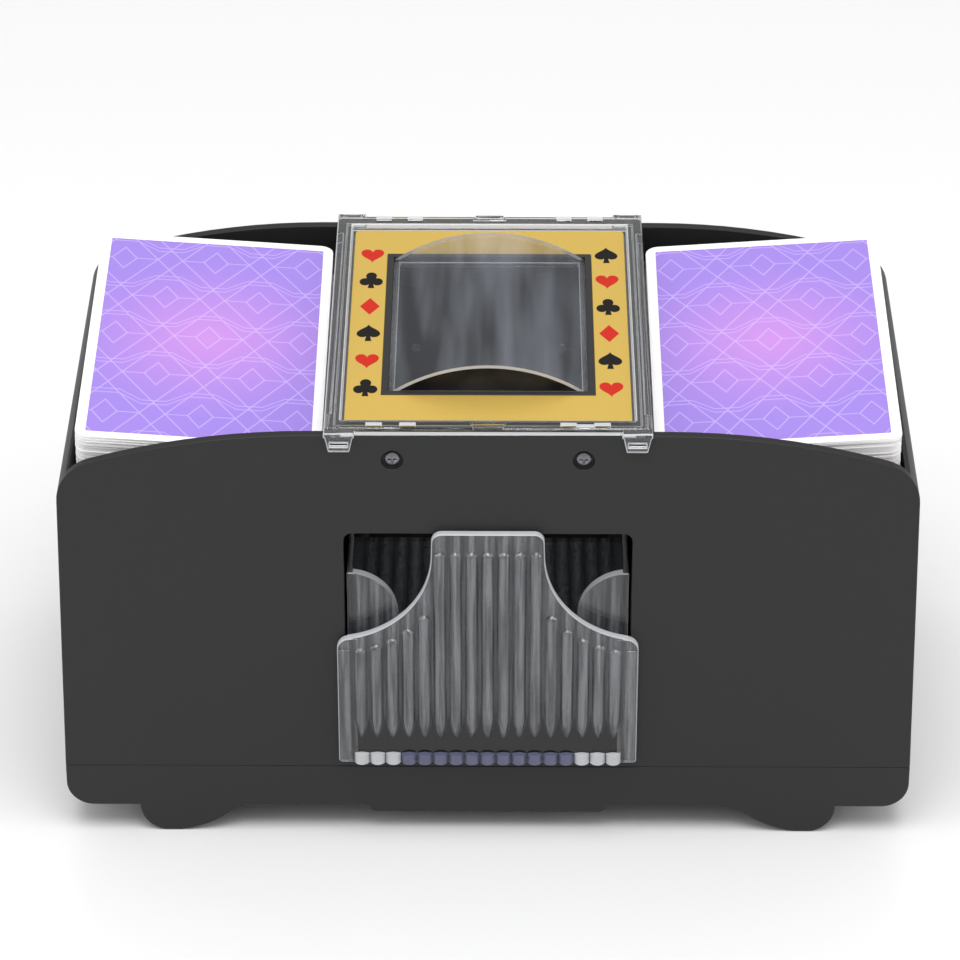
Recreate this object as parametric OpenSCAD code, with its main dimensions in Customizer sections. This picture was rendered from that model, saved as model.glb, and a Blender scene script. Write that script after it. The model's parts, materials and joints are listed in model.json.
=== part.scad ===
// Battery-driven card shuffler. Two decks lie on sloping ramps at the left and the right. A rubber
// roller under each deck drags its lowest card through the slot under a gate, and the cards drop
// between the gates into a clear tray that slides out of the front.
// X runs across the width, the front faces -Y, +Z is up, and the feet stand on z = 0.

/* [Housing] */
// Width across the base
body_w = 203.2; // [200:0.1:210]
// Depth of the housing, front panel to rear panel
body_d = 104; // [104:0.5:110]
// Wall thickness of the two housing shells
wall = 2.4; // [2:0.1:2.6]
// Height of the underside of the base above the table
base_z = 7.5; // [7:0.1:8]
// Height of the seam between the base and the upper housing
seam_z = 19.1; // [18:0.1:20]
// Height of the flat middle of the arched front and rear panels
arch_z = 111.8; // [111:0.1:113]
// Half the length of the flat middle of the arch
arch_flat = 41.5; // [40:0.5:44]
// Radius of the arch on each side of the flat
arch_r = 175; // [165:1:190]
// Radius of the rounded shoulders of the panels
shoulder_r = 11; // [8:0.5:12]
// Inward lean of each side, in mm for each mm of height
draft = 0.02; // [0.01:0.005:0.025]

/* [Ramps and rollers] */
// Slope of the two card ramps
ramp_slope = 4; // [3.5:0.1:4.5]
// Height of the ramps at their inner ends
ramp_in_z = 87.6; // [87:0.1:88]
// Distance of each roller's axis from the middle
roller_x = 49; // [49:1:49]
// Radius of the roller tyres
tyre_r = 9; // [8.5:0.1:9]
// Radius of the steel roller shafts
shaft_r = 1.5; // [1.4:0.1:1.6]

/* [Tray] */
// Half width of the tray bin
bin_half_w = 33.2; // [32.6:0.1:33.3]
// Height of the tray's side walls above the table
bin_top_z = 72.6; // [66:0.1:73]
// Half width of the tray's front plate
plate_half_w = 35.6; // [35:0.1:37]

/* [Cards] */
// Width of a card
card_w = 57.15; // [57.15:0.05:57.15]
// Length of a card
card_l = 88.9; // [88.9:0.1:88.9]
// Radius of a card's corners
card_r = 3; // [2.5:0.1:3.5]
// Height of one deck at its middle
deck_h = 18.9; // [14:0.1:19]
// Rise of a deck's top from front to rear, where the cards spring apart a little
deck_rise = 5.6; // [0:0.1:6]

/* [Gears] */
// Gear module
gear_m = 1; // [1:1:1]
// Pressure angle of the teeth
pressure_angle = 25; // [24:1:26]
// Play between meshed teeth along the pitch circle
backlash = 0.24; // [0.2:0.01:0.3]

/* [Hidden] */
$fn = 64;

// Faces of the housing
front_y = -body_d / 2;
rear_y = body_d / 2;
in_front_y = front_y + wall;
in_rear_y = rear_y - wall;
half_w = body_w / 2;
well_half_w = 96.9;
side_top_z = 100.6;
floor_z = base_z + wall;
base_corner_r = 6.5;
rib_z = 5.6;
rib_half_w = 28.6;
rib_corner_r = 1.9;
side_gap = 1.6;
side_deep_z = 88;
well_z = 80;

// Centre and reach of the shoulder rounding, tangent to the side and to the arch
arch_c = [arch_flat, arch_z - arch_r];
shoulder_rise = 75;
shoulder_x = half_w - draft * shoulder_rise - shoulder_r;
shoulder_z = arch_c[1] + sqrt(pow(arch_r - shoulder_r, 2) - pow(shoulder_x - arch_flat, 2));
shoulder_a = atan2(shoulder_z - arch_c[1], shoulder_x - arch_flat);

// Opening for the tray in the front panel
open_half_w = 33.7;
open_z = [21.2, 85.2];
open_r = 2.1;

// Feet, drawn from the front as a tight round heel and a long shallow toe, level with the panels
foot_x = 77;
foot_heel_r = 7;
foot_toe_r = 22.8;
foot_l = 12;
foot_y = body_d / 2 - foot_l / 2;
sole_z = 0.15;
sole_x = [74.2, 79.8];
sole_h = 1.4;
sole_inset = 1.4;

// Ramps, cards and the gate frame between them
ramp_in_x = 37;
ramp_t = 2;
chute_z = 74.4;
chute_x = 34;
runner_h = 0.6;
deck_gap = 0.12;
gate_x = [36.9, 38.3];
gate_slot = 0.7;
gate_top_z = 104.6;
card_y = -2.2;
deck_in_x = 38.7;
function ramp_z(x) = ramp_in_z + (x - ramp_in_x) * tan(ramp_slope);

// Rollers
roller_z = ramp_z(roller_x) + (runner_h - deck_gap - tyre_r) / cos(ramp_slope);
tyre_y = 20;
tyre_w = 8;
tyre_t = 2;
hub_r = tyre_r - tyre_t;
running = 0.05;
bush_r = 3;
bush_front_y = [-46.2, -43];
shaft_front_y = -46.4;

// Gear plate and the planes of the gears
plate_y = [44.2, 45.8];
gear_y = [46.3, 48.7];
first_gear_y = [39.4, 42];
gear_shelf_z = [100.6, 102];
axle_r = 1.25;
axle_front_y = 37.6;
axle_rear_y = rear_y - 1;
addendum = 0.8 * gear_m;
dedendum = 1.12 * gear_m;

// Teeth
roller_teeth = 24;
idler_teeth = 37;
small_teeth = 10;
big_teeth = 28;
pinion_teeth = 9;
idler_x = idler_teeth * gear_m / 2;
compound_reach = (roller_teeth + small_teeth) * gear_m / 2;
compound_a = atan2(-15, 8);
compound_pos = [roller_x, roller_z] + compound_reach * [cos(compound_a), sin(compound_a)];
motor_reach = (big_teeth + pinion_teeth) * gear_m / 2;
motor_a = -70;
motor_pos = compound_pos + motor_reach * [cos(motor_a), sin(motor_a)];

// Motor
motor_r = 12;
motor_y = [8, 38.2];
motor_shaft_r = 1;
cradle_y = [12, 33];
cradle_half_w = 14.5;
clamp_y = [18, 27];
clamp_t = 1.2;

// Tray
bin_wall = 1.3;
bin_floor_z = [21.8, 23.4];
bin_front_y = -49.4;
bin_front_t = 2.2;
bin_rear_y = 43.6;
ear_r = 12;
bin_sill_z = 34;
plate_back_y = front_y - 0.2;
plate_t = 3;
plate_bottom_z = 21.8;
handle_half_w = 13.2;
handle_top_z = 86.4;
handle_r = 2.4;
flare_r = 23;
flare_c = [36.3, 80.2];
plate_shoulder_r = 3;
rib_r = 1.6;
rib_proud = 0.4;
rib_pitch = 3.76;
rib_side_n = 9;
rib_centre_n = 3;
rail_z = bin_floor_z[0] - 2;
rail_in_x = 29.5;
rail_x = [33.5, 36.4];
rail_top_z = 33;
rail_post_x = 32.5;

// Cover
cover_half_w = 37.85;
cover_z = [111.9, 113.2];
rim_z = 113.5;
rim_out = [37, 51.2];
well_out = [35.4, 48.9];
well_in = [34.1, 47.6];
cover_floor_z = [110.4, 111.7];
skirt_t = 1.5;
skirt_z = 105;
skirt_half_l = 43.8;
lug_x = [30.8, 37.85];
lug_t = 1.2;
lug_gap = 0.3;
lug_z = 108.2;
lug_taper = 1.1;
lug_slot = [1.5, 0.9];
catch_x = [3.3, 4.2];
catch_y = [49.3, 51.6];
catch_t = 0.5;
clip_x = [16.6, 24.4];
clip_l = 3.8;
clip_y = [49.4, 50.9];
cover_open = [21.9, 31.1];
gold = [33.3, 46.6];
gold_h = 0.6;
frame_out = [25, 34.2];
frame_in = [23.4, 32.6];
frame_h = 0.8;
vault = [23.3, 32.5];
vault_rise = 7.6;
vault_t = 1.3;
vault_r = (pow(vault[0], 2) + pow(vault_rise, 2)) / (2 * vault_rise);

// Fixings
front_screw_x = 22.1;
panel_screw_z = 105.2;
screw_head_r = 1.7;
screw_head_h = 0.8;
screw_dome_r = 4.2;
screw_cross = [2, 0.5];
screw_r = 1.2;
counterbore_r = 2.5;
counterbore_h = 1.2;
screw_l = 6;
bar_z = [100.6, 108.4];
bar_t = 5;
base_screw = [92, 40];
boss_r = 3.6;
boss_top_z = 26;

// Battery bay
bay_x = [-94.6, -41.2];
bay_half_y = 31.4;
bay_wall = 1.6;
bay_roof_z = 27;
cell_r = 7.1;
cell_l = 50.2;
cell_pitch = 15;
cell_z = floor_z + cell_r + 0.3;
door_gap = 0.3;

// Switch and its button at the rear
button_x = -78;
button_z = 64;
button_half = [7, 4];
button_proud = -(plate_back_y - plate_t - rib_proud) - rear_y;
button_gap = 0.35;
button_flange = 1.4;
button_travel = 1.5;

// Outline of the housing seen from the front, between the seam and the arch
module housing_outline() {
    difference() {
        intersection() {
            polygon([
                [-half_w, seam_z],
                [half_w, seam_z],
                [half_w - draft * (arch_z - seam_z), arch_z],
                [-half_w + draft * (arch_z - seam_z), arch_z],
            ]);
            union() {
                translate([-arch_flat, 0]) square([2 * arch_flat, arch_z]);
                translate(arch_c) circle(r = arch_r, $fn = 180);
                translate([-arch_c[0], arch_c[1]]) circle(r = arch_r, $fn = 180);
            }
        }
        for (side = [0, 1]) mirror([side, 0]) shoulder_cut();
    }
}

// What a shoulder's rounding takes off the outline
module shoulder_cut() {
    reach = 3 * shoulder_r;
    difference() {
        translate([shoulder_x, shoulder_z])
            polygon([
                [0, 0],
                [reach, 0],
                [reach, reach],
                reach * [cos(shoulder_a), sin(shoulder_a)],
            ]);
        translate([shoulder_x, shoulder_z]) circle(r = shoulder_r);
    }
}

// A 2D shape drawn as seen from the front, given depth from y0 back to y1
module from_front(y0, y1) {
    translate([0, y1, 0]) rotate([90, 0, 0]) linear_extrude(height = y1 - y0) children();
}

// A cylinder along Y between y0 and y1, at a place seen from the front
module rod(r, y0, y1, pos = [0, 0]) {
    from_front(y0, y1) translate(pos) circle(r = r);
}

// A box between two corners
module block(low, high) {
    translate(low) cube(high - low);
}

module at_rollers() {
    for (side = [-1, 1]) translate([side * roller_x, 0, roller_z]) children();
}

// A rounded rectangle, from the left bottom corner to the right top one
module round_rect(low, high, r) {
    translate([low[0] + r, low[1]]) square([high[0] - low[0] - 2 * r, high[1] - low[1]]);
    translate([low[0], low[1] + r]) square([high[0] - low[0], high[1] - low[1] - 2 * r]);
    for (x = [low[0] + r, high[0] - r], y = [low[1] + r, high[1] - r]) translate([x, y]) circle(r = r);
}

// Involute gear teeth
function roll_angle(r, base) = sqrt(pow(max(r, base) / base, 2) - 1);
function involute_a(r, base) = roll_angle(r, base) * 180 / PI - atan(roll_angle(r, base));
function half_tooth(r, pitch, n) = 90 / n - backlash / 4 / pitch * 180 / PI
    + involute_a(pitch, pitch * cos(pressure_angle)) - involute_a(r, pitch * cos(pressure_angle));
function flank_radii(pitch) = [
    pitch - dedendum,
    max(pitch * cos(pressure_angle), pitch - dedendum + 0.1),
    pitch,
    pitch + addendum,
];
function polar(r, a) = r * [cos(a), sin(a)];
function tooth(k, n, pitch, radii) = concat(
    [for (r = radii) polar(r, 360 * k / n - half_tooth(r, pitch, n))],
    [for (i = [3:-1:0]) polar(radii[i], 360 * k / n + half_tooth(radii[i], pitch, n))]
);
function gear_points(n) = [
    for (k = [0:n - 1]) each tooth(k, n, n * gear_m / 2, flank_radii(n * gear_m / 2))
];
// Turn of gear B that meshes it with gear A, for the direction from A to B
function mesh_turn(dir, turn_a, n_a, n_b) = dir + 180 - (0.5 - (dir - turn_a) * n_a / 360) * 360 / n_b;

right_turn = 0;
right_idler_turn = mesh_turn(180, right_turn, roller_teeth, idler_teeth);
left_idler_turn = mesh_turn(180, right_idler_turn, idler_teeth, idler_teeth);
left_turn = mesh_turn(180, left_idler_turn, idler_teeth, roller_teeth);
small_turn = mesh_turn(compound_a, right_turn, roller_teeth, small_teeth);
big_turn = 0;
pinion_turn = mesh_turn(motor_a, big_turn, big_teeth, pinion_teeth);

module gear(n, turn, y, pos) {
    from_front(y[0], y[1]) translate(pos) rotate(turn) polygon(gear_points(n));
}

// Upper moulding: arched front and rear panels joined by two leaning side walls
module upper_housing() {
    color("#3c3c3c") difference() {
        union() {
            difference() {
                from_front(front_y, rear_y) housing_outline();
                block([-half_w + wall + side_gap, in_front_y, 0],
                    [half_w - wall - side_gap, in_rear_y, side_deep_z]);
                block([-well_half_w, in_front_y, well_z], [well_half_w, in_rear_y, arch_z + 1]);
            }
            for (x = [-1, 1], y = [-1, 1])
                translate([x * base_screw[0], y * base_screw[1], boss_top_z - 4])
                    cylinder(r = boss_r, h = 12);
        }
        housing_sides_trim();
        from_front(front_y - 1, in_front_y + 1) tray_opening();
        for (x = [-1, 1]) {
            rod(counterbore_r, front_y - 1, front_y + counterbore_h, [x * front_screw_x, panel_screw_z]);
            rod(screw_r + 0.1, front_y - 1, in_front_y + 1, [x * front_screw_x, panel_screw_z]);
            rod(counterbore_r, rear_y - counterbore_h, rear_y + 1, [x * front_screw_x, panel_screw_z]);
            rod(screw_r + 0.1, in_rear_y - 1, rear_y + 1, [x * front_screw_x, panel_screw_z]);
        }
        for (x = [-1, 1], y = [-1, 1])
            translate([x * base_screw[0], y * base_screw[1], boss_top_z - 5])
                cylinder(r = screw_r + 0.05, h = 10);
        for (pos = [[-idler_x, roller_z], [idler_x, roller_z], compound_pos])
            rod(axle_r + 0.03, in_rear_y - 1, axle_rear_y, pos);
        button_hole();
    }
}

// Opening of the front panel, rounded at its upper corners only
module tray_opening() {
    round_rect([-open_half_w, open_z[0] + open_r], [open_half_w, open_z[1]], open_r);
    translate([-open_half_w, open_z[0]]) square([2 * open_half_w, 3 * open_r]);
}

// Cuts the side walls level between the panels
module housing_sides_trim() {
    block([-half_w - 1, in_front_y, side_top_z], [half_w + 1, in_rear_y, arch_z + 1]);
}

module button_hole() {
    from_front(in_rear_y - 1, rear_y + 1)
        round_rect(
            [button_x - button_half[0] - button_gap, button_z - button_half[1] - button_gap],
            [button_x + button_half[0] + button_gap, button_z + button_half[1] + button_gap],
            2 + button_gap
        );
}

// Outline of the base seen from the front, rounded at its lower corners
module base_outline() {
    top = seam_z;
    difference() {
        round_rect([-half_w, base_z], [half_w, top + base_corner_r], base_corner_r);
        translate([-half_w - 1, top]) square([body_w + 2, base_corner_r + 1]);
    }
    round_rect([-rib_half_w, rib_z], [rib_half_w, base_z + 2 * rib_corner_r], rib_corner_r);
}

// One foot seen from the front, on the right
module foot_outline() {
    intersection() {
        translate([foot_x, foot_heel_r]) circle(r = foot_heel_r);
        translate([foot_x, sole_z]) square([foot_heel_r, base_z - sole_z]);
    }
    intersection() {
        translate([foot_x, foot_toe_r]) circle(r = foot_toe_r, $fn = 180);
        translate([foot_x - foot_toe_r, sole_z]) square([foot_toe_r, base_z - sole_z]);
    }
}

// Base moulding with its feet, the rib under the middle and the frame of the battery opening
module base_shell() {
    color("#3a3a3a") difference() {
        union() {
            difference() {
                from_front(front_y, rear_y) base_outline();
                block([-half_w + wall + 1, in_front_y, floor_z], [half_w - wall - 1, in_rear_y, seam_z + 1]);
            }
            for (x = [0, 1], y = [-1, 1])
                mirror([x, 0, 0]) translate([0, y * foot_y, 0])
                    from_front(-foot_l / 2, foot_l / 2) foot_outline();
            for (x = [-1, 1], y = [-1, 1])
                translate([x * base_screw[0], y * base_screw[1], floor_z - 0.5])
                    cylinder(r = boss_r, h = boss_top_z - 4 - floor_z + 0.5);
            for (x = [-1, 1])
                block([x * rail_post_x - 1, in_front_y + 1, floor_z - 0.5],
                    [x * rail_post_x + 1, bin_rear_y, rail_z]);
        }
        block([bay_x[0], -bay_half_y, base_z - 1], [bay_x[1], bay_half_y, floor_z + 1]);
        for (x = [-1, 1], y = [-1, 1]) {
            translate([x * base_screw[0], y * base_screw[1], -1]) cylinder(r = screw_r + 0.1, h = 40);
            translate([x * base_screw[0], y * base_screw[1], -1]) cylinder(r = counterbore_r, h = 10.6);
        }
        for (x = [-1, 1], y = [-1, 1]) sole_pad(x, y, 0.05);
    }
}

module sole_pad(x, y, gap = 0) {
    low = x > 0 ? sole_x[0] : -sole_x[1];
    translate([low - gap, y * foot_y - foot_l / 2 + sole_inset - gap, 0])
        cube([sole_x[1] - sole_x[0] + 2 * gap, foot_l - 2 * sole_inset + 2 * gap, sole_h]);
}

// Four rubber pads let into the feet
module sole_pads() {
    color("#1c1c1c") for (x = [-1, 1], y = [-1, 1]) sole_pad(x, y);
}

// Ramp on the right, with the chute wall at its inner end
module card_ramp_right() {
    under = ramp_t / cos(ramp_slope);
    difference() {
        union() {
            from_front(in_front_y, plate_y[0])
                polygon([
                    [ramp_in_x, ramp_z(ramp_in_x)],
                    [well_half_w, ramp_z(well_half_w)],
                    [well_half_w, ramp_z(well_half_w) - under],
                    [ramp_in_x + 2.8, ramp_z(ramp_in_x) - under],
                    [chute_x + 1.6, chute_z],
                    [chute_x, chute_z],
                    [ramp_in_x, ramp_z(ramp_in_x) - under],
                ]);
            for (y = [-38, -9, 5, 33])
                translate([ramp_in_x, card_y + y, ramp_z(ramp_in_x)]) rotate([0, -ramp_slope, 0])
                    translate([2, 0, -0.3]) cube([card_w - 1, 1.6, runner_h + 0.3]);
            translate([0, bush_front_y[0], 0])
                block([roller_x - 6, 0, roller_z - 6],
                    [roller_x + 6, bush_front_y[1] - bush_front_y[0], ramp_z(roller_x - 6) - 1]);
            block([well_half_w - 16, bush_front_y[0], boss_top_z + 8],
                [well_half_w - 12, bush_front_y[1], ramp_z(well_half_w - 16) - 1]);
        }
        for (y = [-tyre_y, tyre_y])
            block([roller_x - tyre_r - 0.8, y - tyre_w / 2 - 0.8, roller_z],
                [roller_x + tyre_r + 0.8, y + tyre_w / 2 + 0.8, 100]);
        rod(bush_r + 0.02, bush_front_y[0] - 1, bush_front_y[1] + 1, [roller_x, roller_z]);
    }
}

module left_card_ramp() {
    color("#232323") mirror([1, 0, 0]) card_ramp_right();
}

module right_card_ramp() {
    color("#232323") card_ramp_right();
}

// Frame between the decks: two gates with a card slot under each, and two cross bars
module gate_frame() {
    slot_z = ramp_z(gate_x[1]) + runner_h + gate_slot;
    color("#262626") difference() {
        union() {
            for (side = [0, 1])
                mirror([side, 0, 0])
                    block([gate_x[0], in_front_y, slot_z], [gate_x[1], plate_y[0], gate_top_z]);
            for (y = [in_front_y, plate_y[0] - bar_t])
                block([-gate_x[0], y, bar_z[0]], [gate_x[0], y + bar_t, gate_top_z]);
            for (y = [in_front_y, in_rear_y - bar_t])
                block([-front_screw_x - 5, y, gear_shelf_z[1]], [front_screw_x + 5, y + bar_t, bar_z[1]]);
        }
        for (x = [-1, 1]) {
            rod(screw_r + 0.05, in_front_y - 1, in_front_y + bar_t - 1, [x * front_screw_x, panel_screw_z]);
            rod(screw_r + 0.05, in_rear_y - bar_t + 1, in_rear_y + 1, [x * front_screw_x, panel_screw_z]);
        }
    }
}

// Wall behind the cards that carries the gears, with a shelf over them
module gear_plate() {
    color("#2b2b2b") difference() {
        union() {
            block([-well_half_w, plate_y[0], 82], [well_half_w, plate_y[1], gear_shelf_z[1]]);
            block([-64, plate_y[0], 58], [74, plate_y[1], 83]);
            block([-well_half_w, plate_y[0], gear_shelf_z[0]], [well_half_w, in_rear_y, gear_shelf_z[1]]);
        }
        at_rollers() rod(bush_r + 0.02, plate_y[0] - 1, plate_y[1] + 1);
        for (x = [-1, 1]) rod(axle_r + 0.03, plate_y[0] - 1, plate_y[1] + 1, [x * idler_x, roller_z]);
        rod(6.4, plate_y[0] - 1, plate_y[1] + 1, compound_pos);
    }
}

// Four bronze bushes that carry the roller shafts
module shaft_bushes() {
    color("#b58a4a") at_rollers() for (y = [bush_front_y, plate_y])
        difference() {
            rod(bush_r, y[0], y[1]);
            rod(shaft_r + running, y[0] - 1, y[1] + 1);
        }
}

// Steel pins of the two idlers and of the reduction gear
module gear_axles() {
    color("#c8c8c8") {
        for (x = [-1, 1]) rod(axle_r, plate_y[0], axle_rear_y, [x * idler_x, roller_z]);
        rod(axle_r, axle_front_y, axle_rear_y, compound_pos);
    }
}

module tray_rail_right() {
    block([rail_in_x, in_front_y + 1, rail_z], [rail_x[1], bin_rear_y + 0.4, bin_floor_z[0] - 0.2]);
    block([rail_x[0], in_front_y + 1, rail_z], [rail_x[1], bin_rear_y + 0.4, rail_top_z]);
}

module left_tray_rail() {
    color("#2f2f2f") mirror([1, 0, 0]) tray_rail_right();
}

module right_tray_rail() {
    color("#2f2f2f") tray_rail_right();
}

// Saddle under the motor, standing on the base
module motor_cradle() {
    color("#303030") difference() {
        block([motor_pos[0] - cradle_half_w, cradle_y[0], floor_z],
            [motor_pos[0] + cradle_half_w, cradle_y[1], motor_pos[1]]);
        rod(motor_r + 0.02, cradle_y[0] - 1, cradle_y[1] + 1, motor_pos);
        block([motor_pos[0] - cradle_half_w + 3, cradle_y[0] + 3, floor_z - 1],
            [motor_pos[0] + cradle_half_w - 3, cradle_y[1] - 3, motor_pos[1] - motor_r - 3]);
    }
}

module motor_can() {
    color("#b9bcc0") difference() {
        union() {
            rod(motor_r, motor_y[0] + 3, motor_y[1] - 1.2, motor_pos);
            rod(3, motor_y[1] - 2, motor_y[1], motor_pos);
        }
        rod(motor_shaft_r + running, motor_y[0], motor_y[1] + 1, motor_pos);
    }
}

module motor_end_bell() {
    color("#e8e8e4") {
        rod(motor_r - 0.5, motor_y[0] + 1, motor_y[0] + 3, motor_pos);
        for (x = [-1, 1])
            block([motor_pos[0] + x * 7 - 1.2, motor_y[0] - 2, motor_pos[1] - 0.4],
                [motor_pos[0] + x * 7 + 1.2, motor_y[0] + 1, motor_pos[1] + 0.4]);
    }
}

// Strap that holds the motor down in its saddle
module motor_clamp() {
    color("#c0c0c0") difference() {
        union() {
            rod(motor_r + clamp_t, clamp_y[0], clamp_y[1], motor_pos);
            block([motor_pos[0] - cradle_half_w, clamp_y[0], motor_pos[1]],
                [motor_pos[0] + cradle_half_w, clamp_y[1], motor_pos[1] + clamp_t]);
        }
        rod(motor_r + 0.02, clamp_y[0] - 1, clamp_y[1] + 1, motor_pos);
        block([motor_pos[0] - 20, clamp_y[0] - 1, motor_pos[1] - 20],
            [motor_pos[0] + 20, clamp_y[1] + 1, motor_pos[1]]);
    }
}

// Box over the cells, open underneath
module battery_holder() {
    color("#2a2a2a") difference() {
        block([bay_x[0] - bay_wall, -bay_half_y - bay_wall, floor_z],
            [bay_x[1] + bay_wall, bay_half_y + bay_wall, bay_roof_z]);
        block([bay_x[0], -bay_half_y, floor_z - 1], [bay_x[1], bay_half_y, bay_roof_z - bay_wall]);
    }
}

module at_cells() {
    for (i = [0:3]) translate([0, (i - 1.5) * cell_pitch, cell_z]) children();
}

// Four cells lying across the bay, each with its raised positive end
module battery_cells() {
    mid = (bay_x[0] + bay_x[1]) / 2;
    color("#3f6b4a") at_cells() translate([mid - cell_l / 2, 0, 0]) rotate([0, 90, 0]) {
        cylinder(r = cell_r, h = cell_l - 1);
        cylinder(r = 2.7, h = cell_l);
    }
}

module battery_contacts() {
    color("#d0d0cc") at_cells() for (x = [bay_x[0], bay_x[1] - 0.4])
        block([x, -5, -5], [x + 0.4, 5, 5]);
}

// Press switch behind the button
module switch_block() {
    color("#202020") {
        block([button_x - 8, in_rear_y - 16, button_z - 7], [button_x + 8, in_rear_y - 6, button_z + 7]);
        block([button_x - 2, in_rear_y - 6, button_z - 2],
            [button_x + 2, in_rear_y - button_flange - button_travel - 0.2, button_z + 2]);
        for (x = [-1, 1])
            block([button_x + x * 10 - 2, in_rear_y - 16, button_z - 7],
                [button_x + x * 10 + 2, in_rear_y, button_z + 7]);
    }
}

// Pan-head screws of the front and rear panels
module panel_screws() {
    color("#c4c6c8") for (x = [-1, 1], turn = [0, 180])
        rotate([0, 0, turn]) translate([x * front_screw_x, front_y + counterbore_h, panel_screw_z])
            rotate([90, 0, 0]) panel_screw();
}

module panel_screw() {
    difference() {
        union() {
            intersection() {
                cylinder(r = screw_head_r, h = screw_head_h);
                translate([0, 0, screw_head_h - screw_dome_r]) sphere(r = screw_dome_r);
            }
            translate([0, 0, 1 - screw_l]) cylinder(r = screw_r, h = screw_l - 1);
        }
        for (a = [0, 90]) rotate(a)
            translate([-screw_cross[0] / 2, -screw_cross[1] / 2, 0.15])
                cube([screw_cross[0], screw_cross[1], 1]);
    }
}

// Screws from below that hold the upper housing to the base
module base_screws() {
    color("#b0b2b4") for (x = [-1, 1], y = [-1, 1])
        translate([x * base_screw[0], y * base_screw[1], 9.6]) {
            difference() {
                translate([0, 0, -1.2]) cylinder(r = 2.2, h = 1.2);
                for (a = [0, 90]) rotate(a) translate([-1.2, -0.25, -1.3]) cube([2.4, 0.5, 0.8]);
            }
            cylinder(r = screw_r, h = 15);
        }
}

// Lid of the battery bay, flush with the underside
module battery_door() {
    color("#3a3a3a") difference() {
        block([bay_x[0] + door_gap, -bay_half_y + door_gap, base_z],
            [bay_x[1] - door_gap, bay_half_y - door_gap, floor_z - 0.2]);
        for (i = [0:4])
            block([bay_x[0] + 6 + 2.4 * i, -9, base_z - 1], [bay_x[0] + 7 + 2.4 * i, 9, base_z + 0.6]);
    }
}

// Start button in the rear panel, with the flange that keeps it in
module push_button() {
    color("#b02a20") {
        from_front(in_rear_y, rear_y + button_proud)
            round_rect([button_x - button_half[0], button_z - button_half[1]],
                [button_x + button_half[0], button_z + button_half[1]], 2);
        block([button_x - button_half[0] - 0.9, in_rear_y - button_flange - 0.05,
            button_z - button_half[1] - 1.6],
            [button_x + button_half[0] + 0.9, in_rear_y - 0.05, button_z + button_half[1] + 1.6]);
    }
}

module roller_shaft(side) {
    rod(shaft_r, shaft_front_y, gear_y[1] + 0.3, [side * roller_x, roller_z]);
}

module roller_hubs(side) {
    for (y = [-tyre_y, tyre_y]) difference() {
        union() {
            rod(hub_r, y - tyre_w / 2, y + tyre_w / 2, [side * roller_x, roller_z]);
            rod(3.2, y - tyre_w / 2 - 3, y + tyre_w / 2 + 3, [side * roller_x, roller_z]);
        }
        rod(shaft_r, y - tyre_w, y + tyre_w, [side * roller_x, roller_z]);
    }
}

module roller_tyres(side) {
    for (y = [-tyre_y, tyre_y]) difference() {
        rod(tyre_r, y - tyre_w / 2, y + tyre_w / 2, [side * roller_x, roller_z]);
        rod(hub_r, y - tyre_w, y + tyre_w, [side * roller_x, roller_z]);
    }
}

module roller_gear(side, turn) {
    difference() {
        gear(roller_teeth, turn, gear_y, [side * roller_x, roller_z]);
        rod(shaft_r, gear_y[0] - 1, gear_y[1] + 1, [side * roller_x, roller_z]);
    }
}

module right_roller_shaft() {
    color("#c8c8c8") roller_shaft(1);
}

module right_roller_hubs() {
    color("#e6e6e0") roller_hubs(1);
}

module right_roller_tyres() {
    color("#1a1a1a") roller_tyres(1);
}

module right_roller_gear() {
    color("#e9e7df") roller_gear(1, right_turn);
}

module left_roller_shaft() {
    color("#c8c8c8") roller_shaft(-1);
}

module left_roller_hubs() {
    color("#e6e6e0") roller_hubs(-1);
}

module left_roller_tyres() {
    color("#1a1a1a") roller_tyres(-1);
}

module left_roller_gear() {
    color("#e9e7df") roller_gear(-1, left_turn);
}

module idler_gear(side, turn) {
    color("#e9e7df") difference() {
        gear(idler_teeth, turn, gear_y, [side * idler_x, roller_z]);
        rod(axle_r + running, gear_y[0] - 1, gear_y[1] + 1, [side * idler_x, roller_z]);
    }
}

module right_idler_gear() {
    idler_gear(1, right_idler_turn);
}

module left_idler_gear() {
    idler_gear(-1, left_idler_turn);
}

// Two gears on one hub: the large one meets the pinion, the small one the right roller's gear
module reduction_gear() {
    color("#e9e7df") difference() {
        union() {
            gear(big_teeth, big_turn, first_gear_y, compound_pos);
            gear(small_teeth, small_turn, gear_y, compound_pos);
            rod(3.6, first_gear_y[0], gear_y[1], compound_pos);
        }
        rod(axle_r + running, first_gear_y[0] - 1, gear_y[1] + 1, compound_pos);
    }
}

module motor_shaft() {
    color("#c8c8c8") rod(motor_shaft_r, motor_y[0] + 4, first_gear_y[1] + 0.2, motor_pos);
}

module motor_pinion() {
    color("#b08d3c") difference() {
        gear(pinion_teeth, pinion_turn, first_gear_y, motor_pos);
        rod(motor_shaft_r, first_gear_y[0] - 1, first_gear_y[1] + 1, motor_pos);
    }
}

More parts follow.
